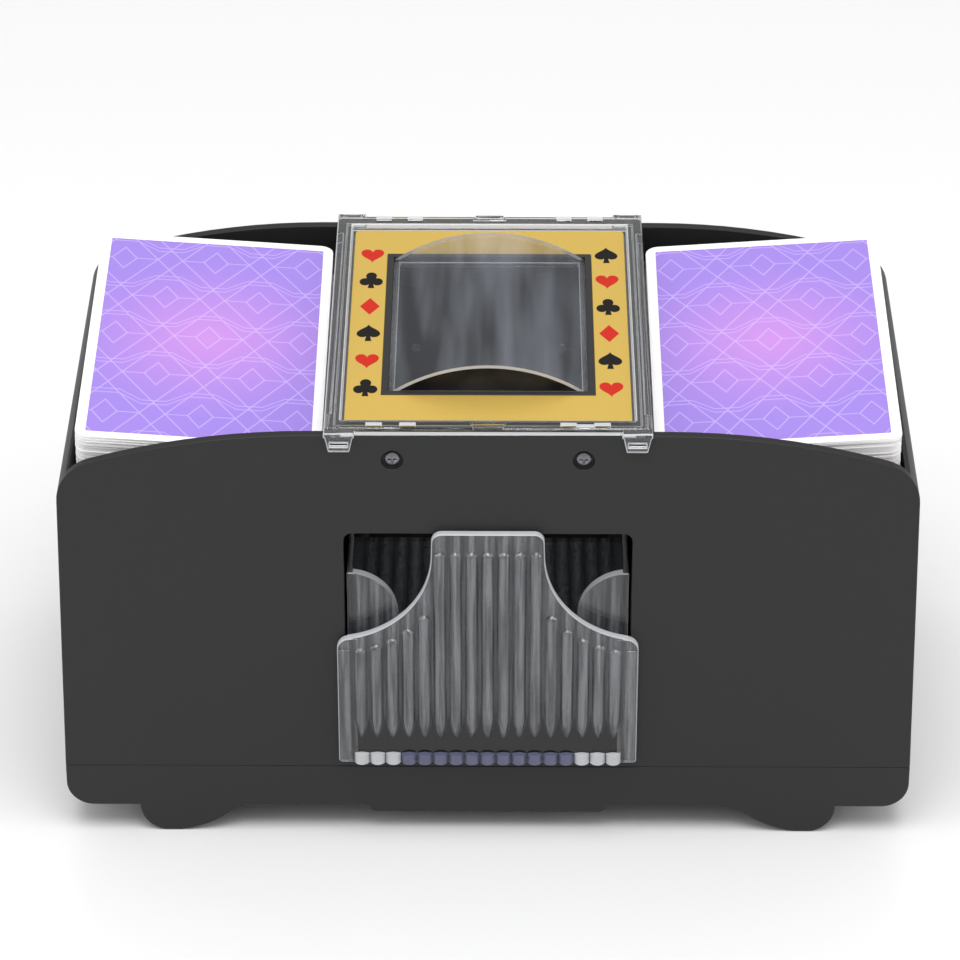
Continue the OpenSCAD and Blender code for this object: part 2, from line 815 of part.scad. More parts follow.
// Front plate of the tray seen from the front: a handle that flares into the shoulders
module tray_plate_outline() {
    shoulder_top = flare_c[1] - flare_r;
    difference() {
        union() {
            round_rect([-plate_half_w, plate_bottom_z], [plate_half_w, shoulder_top], 0.8);
            translate([-plate_half_w + plate_shoulder_r, shoulder_top - 8])
                square([2 * (plate_half_w - plate_shoulder_r), 30]);
            translate([-plate_half_w, shoulder_top - 8]) square([2 * plate_half_w, 8 - plate_shoulder_r + 1]);
            round_rect([-handle_half_w, 50], [handle_half_w, handle_top_z], handle_r);
        }
        for (side = [0, 1]) mirror([side, 0]) {
            translate(flare_c) circle(r = flare_r, $fn = 128);
            translate([handle_half_w, flare_c[1]]) square([30, 30]);
            difference() {
                translate([plate_half_w - plate_shoulder_r, shoulder_top - plate_shoulder_r + 0.1])
                    square([2 * plate_shoulder_r, 2 * plate_shoulder_r]);
                translate([plate_half_w - plate_shoulder_r, shoulder_top - plate_shoulder_r + 0.1])
                    circle(r = plate_shoulder_r);
            }
        }
    }
}

// Height at which a rib ends under the plate's edge
function rib_top(i) = abs(i) <= rib_centre_n ? handle_top_z - 7
    : flare_c[1] - sqrt(pow(flare_r, 2) - pow(min(flare_c[0] - abs(i) * rib_pitch, flare_r - 1), 2)) - 5;

// Clear tray: a bin with two rounded ears at the front, and a ribbed front plate with a handle
module card_tray() {
    color([0.8, 0.85, 0.9, 0.45]) {
        difference() {
            block([-bin_half_w, bin_front_y, bin_floor_z[0]], [bin_half_w, bin_rear_y, bin_top_z]);
            block([-bin_half_w + bin_wall, bin_front_y + bin_front_t, bin_floor_z[1]],
                [bin_half_w - bin_wall, bin_rear_y - bin_wall, bin_top_z + 1]);
            from_front(bin_front_y - 1, bin_front_y + bin_front_t + 1) ear_notch();
            block([-bin_half_w + bin_wall, bin_rear_y - 3, 40], [bin_half_w - bin_wall, bin_rear_y + 1, 80]);
        }
        block([-bin_half_w, plate_back_y, bin_floor_z[0]], [bin_half_w, bin_front_y, bin_floor_z[1]]);
        from_front(plate_back_y - plate_t, plate_back_y) tray_plate_outline();
        for (i = [-rib_side_n:rib_side_n])
            translate([i * rib_pitch, plate_back_y - plate_t + rib_r - rib_proud, plate_bottom_z + 0.2])
                cylinder(r = rib_r, h = rib_top(i) - plate_bottom_z, $fn = 32);
    }
}

// Space between the two rounded ears of the bin's front wall
module ear_notch() {
    inner = bin_half_w - ear_r;
    difference() {
        translate([-bin_half_w + bin_wall, bin_sill_z]) square([2 * (bin_half_w - bin_wall), 60]);
        for (side = [0, 1]) mirror([side, 0]) {
            translate([bin_half_w, bin_top_z - ear_r]) circle(r = ear_r);
            translate([inner, 0]) square([ear_r, bin_top_z - ear_r]);
        }
    }
}

// One lug seen from the front: it narrows downwards and has a slot across it
module lug_outline() {
    difference() {
        polygon([
            [lug_x[0], cover_z[1]],
            [lug_x[1], cover_z[1]],
            [lug_x[1] - lug_taper, lug_z],
            [lug_x[0] + lug_taper, lug_z],
        ]);
        translate([lug_x[0] + lug_slot[0], lug_z + 1.4])
            square([lug_x[1] - lug_x[0] - 2 * lug_slot[0], lug_slot[1]]);
    }
}

// Raised outline of the catch in the middle of the cover's front edge
module catch_outline() {
    difference() {
        polygon([
            [-catch_x[0], -catch_y[1]],
            [catch_x[0], -catch_y[1]],
            [catch_x[1], -catch_y[0]],
            [-catch_x[1], -catch_y[0]],
        ]);
        polygon([
            [-catch_x[0] + catch_t, -catch_y[1] + catch_t],
            [catch_x[0] - catch_t, -catch_y[1] + catch_t],
            [catch_x[1] - catch_t, -catch_y[0] - catch_t],
            [-catch_x[1] + catch_t, -catch_y[0] - catch_t],
        ]);
    }
}

// Clear cover between the decks: a flange on the panels round a sunken floor, and four lugs
module clear_cover() {
    color([0.85, 0.88, 0.9, 0.4]) difference() {
        union() {
            block([-cover_half_w, front_y, cover_z[0]], [cover_half_w, rear_y, cover_z[1]]);
            block([-rim_out[0], -rim_out[1], cover_z[0]], [rim_out[0], rim_out[1], rim_z]);
            block([-well_out[0], -well_out[1], cover_floor_z[0]], [well_out[0], well_out[1], cover_z[1]]);
            for (side = [0, 1])
                mirror([side, 0, 0])
                    block([cover_half_w - skirt_t, -skirt_half_l, skirt_z],
                        [cover_half_w, skirt_half_l, cover_z[1]]);
            for (x = [0, 1], y = [0, 1]) mirror([x, 0, 0]) mirror([0, y, 0]) {
                from_front(front_y - lug_gap - lug_t, front_y - lug_gap) lug_outline();
                block([lug_x[0], front_y - lug_gap - lug_t, cover_z[0]], [lug_x[1], front_y, cover_z[1]]);
                for (clip = clip_x)
                    block([clip, -clip_y[1], cover_z[1]], [clip + clip_l, -clip_y[0], rim_z + 0.4]);
            }
            for (y = [0, 1]) mirror([0, y, 0])
                translate([0, 0, cover_z[1]]) linear_extrude(height = rim_z + 0.3 - cover_z[1])
                    catch_outline();
        }
        block([-well_in[0], -well_in[1], cover_floor_z[1]], [well_in[0], well_in[1], rim_z + 1]);
        block([-cover_open[0], -cover_open[1], skirt_z], [cover_open[0], cover_open[1], rim_z + 1]);
    }
}

// Gold plate round the window
module gold_plate() {
    color("#d9b85c") translate([0, 0, cover_floor_z[1]]) linear_extrude(height = gold_h) difference() {
        round_rect(-gold, gold, 1.4);
        translate(-frame_out) square(2 * frame_out);
    }
}

module window_frame() {
    color("#1e1c18") translate([0, 0, cover_floor_z[1]]) linear_extrude(height = frame_h) difference() {
        translate(-frame_out) square(2 * frame_out);
        translate(-frame_in) square(2 * frame_in);
    }
}

// Clear barrel vault over the window, closed at both ends
module vault_window() {
    axis_z = cover_floor_z[1] + vault_rise - vault_r;
    color([0.45, 0.5, 0.56, 0.6]) intersection() {
        block([-vault[0], -vault[1], cover_floor_z[1]],
            [vault[0], vault[1], cover_floor_z[1] + 2 * vault_rise]);
        difference() {
            rod(vault_r, -vault[1], vault[1], [0, axis_z]);
            rod(vault_r - vault_t, -vault[1] + vault_t, vault[1] - vault_t, [0, axis_z]);
        }
    }
}

// One deck on the right ramp. Each card lies against the upright gate, so the stack leans with it
module deck_right() {
    out_x = deck_in_x + card_w * cos(ramp_slope);
    low = (runner_h + 0.02) / cos(ramp_slope);
    intersection() {
        translate([0, card_y - card_l / 2, 0]) linear_extrude(height = 2 * arch_z)
            round_rect([deck_in_x, 0], [out_x, card_l], card_r);
        from_front(front_y, rear_y)
            polygon([
                [deck_in_x - 1, ramp_z(deck_in_x - 1) + low],
                [out_x + 1, ramp_z(out_x + 1) + low],
                [out_x + 1, 2 * arch_z],
                [deck_in_x - 1, 2 * arch_z],
            ]);
        translate([deck_in_x, card_y, ramp_z(deck_in_x) + low + deck_h])
            rotate([atan(deck_rise / card_l), -ramp_slope, 0])
                translate([-card_w, -card_l, -2 * deck_h])
                    cube([3 * card_w, 2 * card_l, 2 * deck_h]);
    }
}

module left_deck() {
    color("#a98be8") mirror([1, 0, 0]) deck_right();
}

module right_deck() {
    color("#a98be8") deck_right();
}

upper_housing();
base_shell();
sole_pads();
left_card_ramp();
right_card_ramp();
gate_frame();
gear_plate();
shaft_bushes();
gear_axles();
left_tray_rail();
right_tray_rail();
motor_cradle();
motor_can();
motor_end_bell();
motor_clamp();
battery_holder();
battery_cells();
battery_contacts();
switch_block();
panel_screws();
base_screws();
battery_door();
push_button();
right_roller_shaft();
right_roller_hubs();
right_roller_tyres();
right_roller_gear();
left_roller_shaft();
left_roller_hubs();
left_roller_tyres();
left_roller_gear();
right_idler_gear();
left_idler_gear();
reduction_gear();
motor_shaft();
motor_pinion();
card_tray();
clear_cover();
gold_plate();
window_frame();
vault_window();
left_deck();
right_deck();
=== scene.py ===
"""Looks of a two-deck card shuffler: its finishes, its softened mouldings and its playing cards."""

import json
import logging
import math
import random
from collections.abc import Callable, Iterable, Sequence
from dataclasses import dataclass, field
from enum import Enum

import bmesh
import bpy
from mathutils import Matrix, Vector


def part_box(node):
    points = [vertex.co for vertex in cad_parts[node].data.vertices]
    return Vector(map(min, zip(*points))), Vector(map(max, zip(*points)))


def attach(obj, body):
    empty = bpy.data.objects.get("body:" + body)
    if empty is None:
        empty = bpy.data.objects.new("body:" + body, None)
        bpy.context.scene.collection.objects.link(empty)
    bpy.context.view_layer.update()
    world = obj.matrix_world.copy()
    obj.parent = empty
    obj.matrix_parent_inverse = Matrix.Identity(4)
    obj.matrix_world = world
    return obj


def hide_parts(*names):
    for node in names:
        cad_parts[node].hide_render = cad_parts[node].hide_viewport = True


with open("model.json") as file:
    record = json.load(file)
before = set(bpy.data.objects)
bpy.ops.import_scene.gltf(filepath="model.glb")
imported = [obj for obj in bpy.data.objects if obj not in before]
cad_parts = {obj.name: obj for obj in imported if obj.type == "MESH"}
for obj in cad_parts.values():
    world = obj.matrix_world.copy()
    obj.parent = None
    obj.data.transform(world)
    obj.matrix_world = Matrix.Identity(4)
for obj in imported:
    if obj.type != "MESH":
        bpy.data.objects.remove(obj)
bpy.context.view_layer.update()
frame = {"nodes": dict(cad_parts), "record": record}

MM = 0.001
SHARP_DEG = 34.0
LOG = logging.getLogger("card_shuffler")

Colour = tuple[float, float, float, float]
Pair = tuple[float, float]
Shape = bmesh.types.BMesh
Tree = bpy.types.NodeTree
Node = bpy.types.Node
Socket = bpy.types.NodeSocket


class Side(Enum):
    """The two sides of the shuffler, as the sign of X."""

    LEFT = -1
    RIGHT = 1


class Suit(Enum):
    """The four card suits, in the order in which they follow each other down a column."""

    HEART = "heart"
    CLUB = "club"
    DIAMOND = "diamond"
    SPADE = "spade"


class Grain(Enum):
    """The way a metal's brush lines run."""

    ALONG_Y = (1.0, 0.04, 1.0)
    NONE = (1.0, 1.0, 1.0)


# ---------------------------------------------------------------- colours and nodes


def linear(hex_colour: str) -> Colour:
    """Turns an sRGB hex colour into the linear colour that shaders take.

    Args:
        hex_colour: Colour such as "#3c3c3c".

    Returns:
        Linear red, green and blue, and an alpha of 1.
    """
    parts = [int(hex_colour[i : i + 2], 16) / 255 for i in (1, 3, 5)]
    red, green, blue = (c / 12.92 if c <= 0.04045 else ((c + 0.055) / 1.055) ** 2.4 for c in parts)
    return (red, green, blue, 1.0)


def add_node(tree: Tree, kind: str, inputs: dict | None = None, **settings: object) -> Node:
    """Adds a shader node with its settings and its links.

    Args:
        tree: Node tree that gets the node.
        kind: The node's type name, without its "ShaderNode".
        inputs: What each input gets, by its name or index: a value, a socket that feeds it, or
            a node whose first output feeds it.
        settings: The node's own settings by name.

    Returns:
        The new node.
    """
    node = tree.nodes.new(f"ShaderNode{kind}")
    for name, value in settings.items():
        setattr(node, name, value)
    for key, value in (inputs or {}).items():
        source = value.outputs[0] if isinstance(value, Node) else value
        if isinstance(source, Socket):
            tree.links.new(source, node.inputs[key])
        else:
            node.inputs[key].default_value = source
    return node


# ---------------------------------------------------------------- finishes


@dataclass(frozen=True)
class Finish:
    """A material with one colour and gloss, which the kinds below add their surface to."""

    name: str
    colour: str
    roughness: float = 0.5
    metallic: float = 0.0
    ior: float = 1.5

    def material(self) -> bpy.types.Material:
        """Makes the material of this finish on its first use.

        Returns:
            The material.
        """
        made = bpy.data.materials.get(self.name)
        if made is not None:
            return made
        made = bpy.data.materials.new(self.name)
        made.use_nodes = True
        shader = made.node_tree.nodes["Principled BSDF"]
        shader.inputs["Base Color"].default_value = linear(self.colour)
        shader.inputs["Roughness"].default_value = self.roughness
        shader.inputs["Metallic"].default_value = self.metallic
        shader.inputs["IOR"].default_value = self.ior
        place = add_node(made.node_tree, "TexCoord").outputs["Object"]
        self.dress(made.node_tree, shader, place)
        return made

    def dress(self, tree: Tree, shader: Node, place: Socket) -> None:
        """Adds what this kind of surface has beyond its colour and gloss.

        Args:
            tree: The material's nodes.
            shader: The Principled shader of the material.
            place: Object coordinates, in metres.
        """

    def vary(self, tree: Tree, shader: Node, pattern: Node, shade: float, gloss: float) -> None:
        """Lets a pattern from 0 to 1 change the colour and the roughness a little.

        Args:
            tree: The material's nodes.
            shader: The Principled shader.
            pattern: Node whose first output runs from 0 to 1.
            shade: Share of the colour that the pattern takes away at 0.
            gloss: Half of the change in roughness.
        """
        deep = [c * (1 - shade) for c in linear(self.colour)[:3]] + [1.0]
        colours = {0: pattern, 6: deep, 7: linear(self.colour)}
        mixed = add_node(tree, "Mix", colours, data_type="RGBA")
        tree.links.new(mixed.outputs[2], shader.inputs["Base Color"])
        ends = {3: max(self.roughness - gloss, 0.02), 4: self.roughness + gloss}
        rough = add_node(tree, "MapRange", {0: pattern, **ends})
        tree.links.new(rough.outputs[0], shader.inputs["Roughness"])

    def bump(self, tree: Tree, shader: Node, height: Node, depth_mm: float) -> None:
        """Raises the surface by a pattern.

        Args:
            tree: The material's nodes.
            shader: The Principled shader.
            height: Node whose first output runs from 0 to 1.
            depth_mm: Greatest height in millimetres.
        """
        inputs = {"Strength": 1.0, "Distance": depth_mm * MM, "Height": height}
        tree.links.new(add_node(tree, "Bump", inputs).outputs[0], shader.inputs["Normal"])


@dataclass(frozen=True)
class Moulded(Finish):
    """Injection-moulded plastic or rubber whose tool was spark-eroded to a fine even grain."""

    grain_mm: float = 0.5
    grain_depth_mm: float = 0.012
    mottle: float = 0.1
    drift_mm: float = 26.0
    gloss_drift: float = 0.04

    def dress(self, tree: Tree, shader: Node, place: Socket) -> None:
        """Adds the tool's grain, and the slow drift in shade of a large moulding.

        Args:
            tree: The material's nodes.
            shader: The Principled shader of the material.
            place: Object coordinates, in metres.
        """
        slow = {"Scale": 1 / (self.drift_mm * MM), "Detail": 2.0, "Vector": place}
        self.vary(tree, shader, add_node(tree, "TexNoise", slow), self.mottle, self.gloss_drift)
        fine = {"Scale": 1 / (self.grain_mm * MM), "Detail": 3.0, "Roughness": 0.6, "Vector": place}
        self.bump(tree, shader, add_node(tree, "TexNoise", fine), self.grain_depth_mm)


@dataclass(frozen=True)
class Brushed(Finish):
    """Metal with fine parallel lines, or an even satin where its grain runs no way."""

    grain: Grain = Grain.NONE
    line_mm: float = 0.22
    depth_mm: float = 0.004
    streak: float = 0.12
    gloss_drift: float = 0.06

    def dress(self, tree: Tree, shader: Node, place: Socket) -> None:
        """Adds the lines that the brush or the grinding wheel left.

        Args:
            tree: The material's nodes.
            shader: The Principled shader of the material.
            place: Object coordinates, in metres.
        """
        drawn = add_node(tree, "Mapping", {"Scale": self.grain.value, "Vector": place})
        fine = {"Scale": 1 / (self.line_mm * MM), "Detail": 4.0, "Roughness": 0.65, "Vector": drawn}
        lines = add_node(tree, "TexNoise", fine)
        self.vary(tree, shader, lines, self.streak, self.gloss_drift)
        self.bump(tree, shader, lines, self.depth_mm)


@dataclass(frozen=True)
class Clear(Finish):
    """Transparent styrene with the faint flow waves of a moulding."""

    wave_mm: float = 9.0
    wave_depth_mm: float = 0.02
    transmission: float = 1.0

    def dress(self, tree: Tree, shader: Node, place: Socket) -> None:
        """Makes the plastic transparent and adds its flow waves.

        Args:
            tree: The material's nodes.
            shader: The Principled shader of the material.
            place: Object coordinates, in metres.
        """
        shader.inputs["Transmission Weight"].default_value = self.transmission
        broad = {"Scale": 1 / (self.wave_mm * MM), "Detail": 1.5, "Vector": place}
        self.bump(tree, shader, add_node(tree, "TexNoise", broad), self.wave_depth_mm)


@dataclass(frozen=True)
class Film(Finish):
    """Thin clear sheet, flat enough that it bends no light: it tints and reflects, and carries
    painted shade in stripes drawn out along Y.
    """

    cover: float = 0.3
    # Size, spread and depth of the painted shade stripes.
    painted_streak_mm: float = 7.0
    draw: float = 0.12
    painted_streak_ends: Pair = (0.35, 0.65)
    streak_painted_shade: float = 0.75
    gloss_drift: float = 0.03

    def dress(self, tree: Tree, shader: Node, place: Socket) -> None:
        """Sets how much the sheet hides, with painted shade in stripes drawn out along Y.

        Args:
            tree: The material's nodes.
            shader: The Principled shader of the material.
            place: Object coordinates, in metres.
        """
        # Stripes of painted shade, drawn out along Y, for the shade seen under the vault.
        drawn = add_node(tree, "Mapping", {"Scale": (1.0, self.draw, 1.0), "Vector": place})
        broad = {"Scale": 1 / (self.painted_streak_mm * MM), "Detail": 2.5, "Vector": drawn}
        painted_shade_streaks = add_node(tree, "TexNoise", broad)
        clear = add_node(tree, "MapRange", {0: painted_shade_streaks, 1: self.painted_streak_ends[0], 2: self.painted_streak_ends[1]})
        self.vary(tree, shader, clear, self.streak_painted_shade, self.gloss_drift)
        shader.inputs["Alpha"].default_value = self.cover


@dataclass(frozen=True)
class RibbedClear(Clear):
    """Clear ribbed moulding with painted shade at its foot, in points that rise between the ribs,
    for the dark gap seen through it.
    """

    # Colour of the painted shade at the foot.
    shade: str = "#0a0806"
    # Colour of the painted shade between the ribs, where the plate is thin.
    thin: str = "#47484c"
    painted_shade_z_mm: Pair = (24.6, 29.6)
    painted_shade_fade_mm: float = 0.8
    point_mm: float = 5.4
    point_power: float = 2.2
    rib_pitch_mm: float = 3.76
    half_mm: float = 31.0
    # Painted highlight stripes along the ribs: their size, stretch and contrast.
    streak_mm: float = 0.8
    streak_draw: float = 0.04
    streak_ends: Pair = (0.38, 0.62)
    milk_least: float = 0.35
    milk_loss: float = 0.8

    def dress(self, tree: Tree, shader: Node, place: Socket) -> None:
        """Paints shade on the foot, with points that rise between the ribs, and the rib colour
        above it.

        Args:
            tree: The material's nodes.
            shader: The Principled shader of the material.
            place: Object coordinates, in metres.
        """
        super().dress(tree, shader, place)
        local = add_node(tree, "Mapping", {"Scale": (1 / MM, 1 / MM, 1 / MM), "Vector": place})
        x, _, z = add_node(tree, "SeparateXYZ", {0: local}).outputs
        half = self.rib_pitch_mm / 2
        fold = add_node(tree, "Math", {0: x, 1: half}, operation="PINGPONG")
        between = add_node(tree, "Math", {0: fold, 1: half}, operation="DIVIDE")
        point = add_node(tree, "Math", {0: between, 1: self.point_power}, operation="POWER")
        ragged = add_node(tree, "TexNoise", {"Scale": 0.9, "Detail": 3.0, "Vector": local})
        raised = {0: point, 1: self.point_mm, 2: ragged}
        reach = add_node(tree, "Math", raised, operation="MULTIPLY_ADD")
        over = add_node(tree, "Math", {0: z, 1: reach}, operation="SUBTRACT")
        low, high = self.painted_shade_z_mm
        fade = {1: high - self.painted_shade_fade_mm, 2: high + self.painted_shade_fade_mm, 3: 1.0, 4: 0.0}
        # How much painted shade the foot gets, fading out above the points.
        dark = add_node(tree, "MapRange", {0: over, **fade})
        above = add_node(tree, "Math", {0: z, 1: low}, operation="GREATER_THAN")
        away = add_node(tree, "Math", {0: x}, operation="ABSOLUTE")
        inside = add_node(tree, "Math", {0: away, 1: self.half_mm}, operation="LESS_THAN")
        share = add_node(tree, "Math", {0: dark, 1: above}, operation="MULTIPLY")
        share = add_node(tree, "Math", {0: share, 1: inside}, operation="MULTIPLY")
        # Mixes the painted shade of the foot over the colour above it.
        colours = {0: share, 6: self.milk_and_painted_rib_light(tree, local, between), 7: linear(self.shade)}
        mixed = add_node(tree, "Mix", colours, data_type="RGBA")
        tree.links.new(mixed.outputs[2], shader.inputs["Base Color"])

    def milk_and_painted_rib_light(self, tree: Tree, local: Node, between: Node) -> Socket:
        """Makes the colour above the foot: milky along the ribs, where the plastic is thickest,
        with painted highlight stripes, and painted shade between them, where it is thin.

        Args:
            tree: The material's nodes.
            local: Place in millimetres.
            between: 0 in the middle of a rib and 1 halfway to the next.

        Returns:
            The colour.
        """
        draw = (1.0, 1.0, self.streak_draw)
        drawn = add_node(tree, "Mapping", {"Scale": draw, "Vector": local})
        fine = {"Scale": 1 / self.streak_mm, "Detail": 2.0, "Vector": drawn}
        lines = add_node(tree, "TexNoise", fine)
        low, high = self.streak_ends
        bright = add_node(tree, "MapRange", {0: lines, 1: low, 2: high})
        thick = {0: between, 1: -self.milk_loss, 2: 1.0}
        milk = add_node(tree, "Math", thick, operation="MULTIPLY_ADD")
        lit = add_node(tree, "Math", {0: bright, 1: self.milk_least}, operation="ADD")
        share = add_node(tree, "Math", {0: lit, 1: milk}, operation="MULTIPLY")
        colours = {0: share, 6: linear(self.thin), 7: linear(self.colour)}
        return add_node(tree, "Mix", colours, data_type="RGBA").outputs[2]


@dataclass(frozen=True)
class Paper(Finish):
    """Coated card stock, with the fine dimples of its linen embossing."""

    dimple_mm: float = 0.35
    dimple_depth_mm: float = 0.006
    drift_mm: float = 9.0
    drift: float = 0.03

    def dress(self, tree: Tree, shader: Node, place: Socket) -> None:
        """Adds the embossed dimples.

        Args:
            tree: The material's nodes.
            shader: The Principled shader of the material.
            place: Object coordinates, in metres.
        """
        fine = {"Scale": 1 / (self.dimple_mm * MM), "Vector": place}
        self.bump(tree, shader, add_node(tree, "TexVoronoi", fine), self.dimple_depth_mm)
        slow = {"Scale": 1 / (self.drift_mm * MM), "Detail": 2.0, "Vector": place}
        self.vary(tree, shader, add_node(tree, "TexNoise", slow), self.drift, self.drift)


@dataclass(frozen=True)
class CardBack(Paper):
    """Lavender card back with a pink glow in the middle and a lattice of fine pale lines."""

    glow: str = "#bb82cf"
    glow_power: float = 1.2
    line: str = "#d6c6f8"
    line_strength: float = 0.4
    centre: tuple[float, float, float] = (0.0, 0.0, 0.0)
    reach_mm: float = 34.0
    line_mm: float = 0.27
    line_ends: Pair = (0.3, 0.85)
    half_cell_mm: Pair = (11.2, 16.7)
    crossing_mm: float = 8.2
    crossing_slant: float = 0.83
    lozenge_mm: Pair = (3.0, 4.7)
    lozenge_slant: float = 0.84
    wave_mm: tuple[float, float, float] = (7.3, 2.0, 1.5)

    def dress(self, tree: Tree, shader: Node, place: Socket) -> None:
        """Adds the print: glow first, then the lattice over it.

        Args:
            tree: The material's nodes.
            shader: The Principled shader of the material.
            place: Object coordinates, in metres.
        """
        super().dress(tree, shader, place)
        shift = [-c / MM for c in self.centre]
        flat = {"Location": shift, "Scale": (1 / MM, 1 / MM, 0.0), "Vector": place}
        local = add_node(tree, "Mapping", flat)
        away = add_node(tree, "VectorMath", {0: local}, operation="LENGTH").outputs["Value"]
        fade = add_node(tree, "MapRange", {0: away, 1: 0.0, 2: self.reach_mm, 3: 1.0, 4: 0.0})
        warmth = add_node(tree, "Math", {0: fade, 1: self.glow_power}, operation="POWER")
        colours = {0: warmth, 6: linear(self.colour), 7: linear(self.glow)}
        ground = add_node(tree, "Mix", colours, data_type="RGBA").outputs[2]
        ink = {0: self.lattice(tree, local), 1: self.line_strength}
        strength = add_node(tree, "Math", ink, operation="MULTIPLY")
        colours = {0: strength, 6: ground, 7: linear(self.line)}
        printed = add_node(tree, "Mix", colours, data_type="RGBA").outputs[2]
        tree.links.new(printed, shader.inputs["Base Color"])

    def lattice(self, tree: Tree, local: Node) -> Node:
        """Draws crossing diagonals, and a lozenge, two bars and a double wave in each cell.

        Args:
            tree: The material's nodes.
            local: Place on the card in millimetres from its middle.

        Returns:
            1 on a line and 0 elsewhere.
        """
        x, y, _ = add_node(tree, "SeparateXYZ", {0: local}).outputs
        half_x, half_y = self.half_cell_mm
        masks = []
        for lean in (-half_x / half_y, half_x / half_y):
            slid = add_node(tree, "Math", {0: y, 1: lean, 2: x}, operation="MULTIPLY_ADD")
            fold = add_node(tree, "Math", {0: slid, 1: half_x}, operation="PINGPONG")
            off = add_node(tree, "Math", {0: fold, 1: self.crossing_mm}, operation="SUBTRACT")
            masks.append(self.stroke(tree, off, self.crossing_slant))
        for shift in (0, 1):
            moved = add_node(tree, "Math", {0: x, 1: shift * half_x}, operation="ADD")
            across = add_node(tree, "Math", {0: moved, 1: half_x}, operation="PINGPONG")
            moved = add_node(tree, "Math", {0: y, 1: (shift + 1) * half_y}, operation="ADD")
            turn = add_node(tree, "Math", {0: moved, 1: 2 * half_y}, operation="FLOORED_MODULO")
            along = add_node(tree, "Math", {0: turn, 1: half_y}, operation="SUBTRACT")
            masks += self.cell(tree, across, along)
        total = masks[0]
        for mask in masks[1:]:
            total = add_node(tree, "Math", {0: total, 1: mask}, operation="MAXIMUM")
        return total

    def cell(self, tree: Tree, across: Node, along: Node) -> list[Node]:
        """Draws what lies in one cell.

        Args:
            tree: The material's nodes.
            across: Distance from the cell's middle along X, never negative.
            along: Place from the cell's middle along Y.

        Returns:
            The lines of the cell, each 1 on a line and 0 elsewhere.
        """
        wide, tall = self.lozenge_mm
        level = add_node(tree, "Math", {0: along}, operation="ABSOLUTE")
        lean = {0: level, 1: wide / tall, 2: across}
        tilted = add_node(tree, "Math", lean, operation="MULTIPLY_ADD")
        edge = add_node(tree, "Math", {0: tilted, 1: wide}, operation="SUBTRACT")
        lozenge = self.stroke(tree, edge, self.lozenge_slant)
        middle, reach = (self.crossing_mm + wide) / 2, (self.crossing_mm - wide) / 2
        inside = add_node(tree, "Math", {0: across, 1: middle, 2: reach}, operation="COMPARE")
        bar = {0: self.stroke(tree, along), 1: inside}
        height, swing, gap = self.wave_mm
        slope = {1: wide, 2: self.crossing_mm, 3: height + swing, 4: height - swing}
        ramp = add_node(tree, "MapRange", {0: across, **slope})
        off = add_node(tree, "Math", {0: along, 1: ramp}, operation="SUBTRACT")
        under = add_node(tree, "Math", {0: off, 1: gap}, operation="ADD")
        return [
            lozenge,
            add_node(tree, "Math", bar, operation="MULTIPLY"),
            self.stroke(tree, off),
            self.stroke(tree, under),
        ]

    def stroke(self, tree: Tree, away: Node, slant: float = 1.0) -> Node:
        """Draws a line with soft edges where a signed distance is near 0.

        Args:
            tree: The material's nodes.
            away: Signed distance in millimetres, measured along one axis.
            slant: How much of that distance lies across the line.

        Returns:
            1 on the line and 0 elsewhere.
        """
        full, none = (self.line_mm / slant * end for end in self.line_ends)
        size = add_node(tree, "Math", {0: away}, operation="ABSOLUTE")
        return add_node(tree, "MapRange", {0: size, 1: full, 2: none, 3: 1.0, 4: 0.0})


# Acrylonitrile butadiene styrene (ABS) from a fine spark-eroded tool: dark, dry, softly shaded.
HOUSING = Moulded("abs_charcoal_fine_grain", "#212121", 0.5, ior=1.42)
# A darker copy of the same ABS: painted shade on the inner faces and upper rims of the housing
# shells, and the colour of the black parts inside.
BLACK_AND_PAINTED_SHADE = Moulded("abs_black_plain", "#1a1a19", 0.55, ior=1.4)
# Thermoplastic rubber: the darkest and driest of the black parts.
RUBBER = Moulded("rubber_black_matte", "#0e0e0e", 0.85, grain_mm=0.7)
# Tyre rubber ground to size: a little greyer than the pads.
TYRE = Moulded("rubber_black_ground", "#131313", 0.8, grain_mm=0.4, grain_depth_mm=0.03)
# Acetal (POM): waxy off-white, slightly translucent to the eye.
ACETAL = Moulded("acetal_natural", "#e9e6dc", 0.42, ior=1.48, mottle=0.04)
# Polyamide (nylon) roller hubs: whiter and drier than acetal.
NYLON = Moulded("nylon_white", "#e3e2da", 0.55, mottle=0.05)
# Steel bar, centreless ground: bright with very fine rings.
STEEL = Brushed("steel_ground_bar", "#c9cbce", 0.24, 1.0, grain=Grain.ALONG_Y)
# Zinc-plated sheet steel of the motor: bluish and slightly cloudy.
ZINC = Brushed("steel_zinc_plated", "#b4bac2", 0.34, 1.0, line_mm=1.4)
# Nickel-plated screws: warm white metal with a dark cross slot.
NICKEL = Brushed("steel_nickel_plated", "#d2cfc8", 0.22, 1.0)
# Sintered bronze bushes: brown-gold and dull with oil.
BRONZE = Brushed("bronze_sintered", "#a9783c", 0.45, 1.0, line_mm=0.5)
# Hobbed brass pinion.
BRASS = Brushed("brass_hobbed", "#c9a24a", 0.3, 1.0)
# Anodised aluminium sheet, satin brushed along the depth, dyed gold.
GOLD = Brushed("aluminium_gold_anodised", "#e8c460", 0.4, 0.75, grain=Grain.ALONG_Y, streak=0.05)
# Crystal polystyrene: brilliant edges and clear faces.
CRYSTAL = Clear("polystyrene_crystal_clear", "#f4f6f7", 0.03, ior=1.57)
# The same styrene, smoked, in a sheet so thin that it bends no light.
SMOKED = Film("polystyrene_smoked_sheet", "#8f949e", 0.06, ior=1.57, cover=0.25)
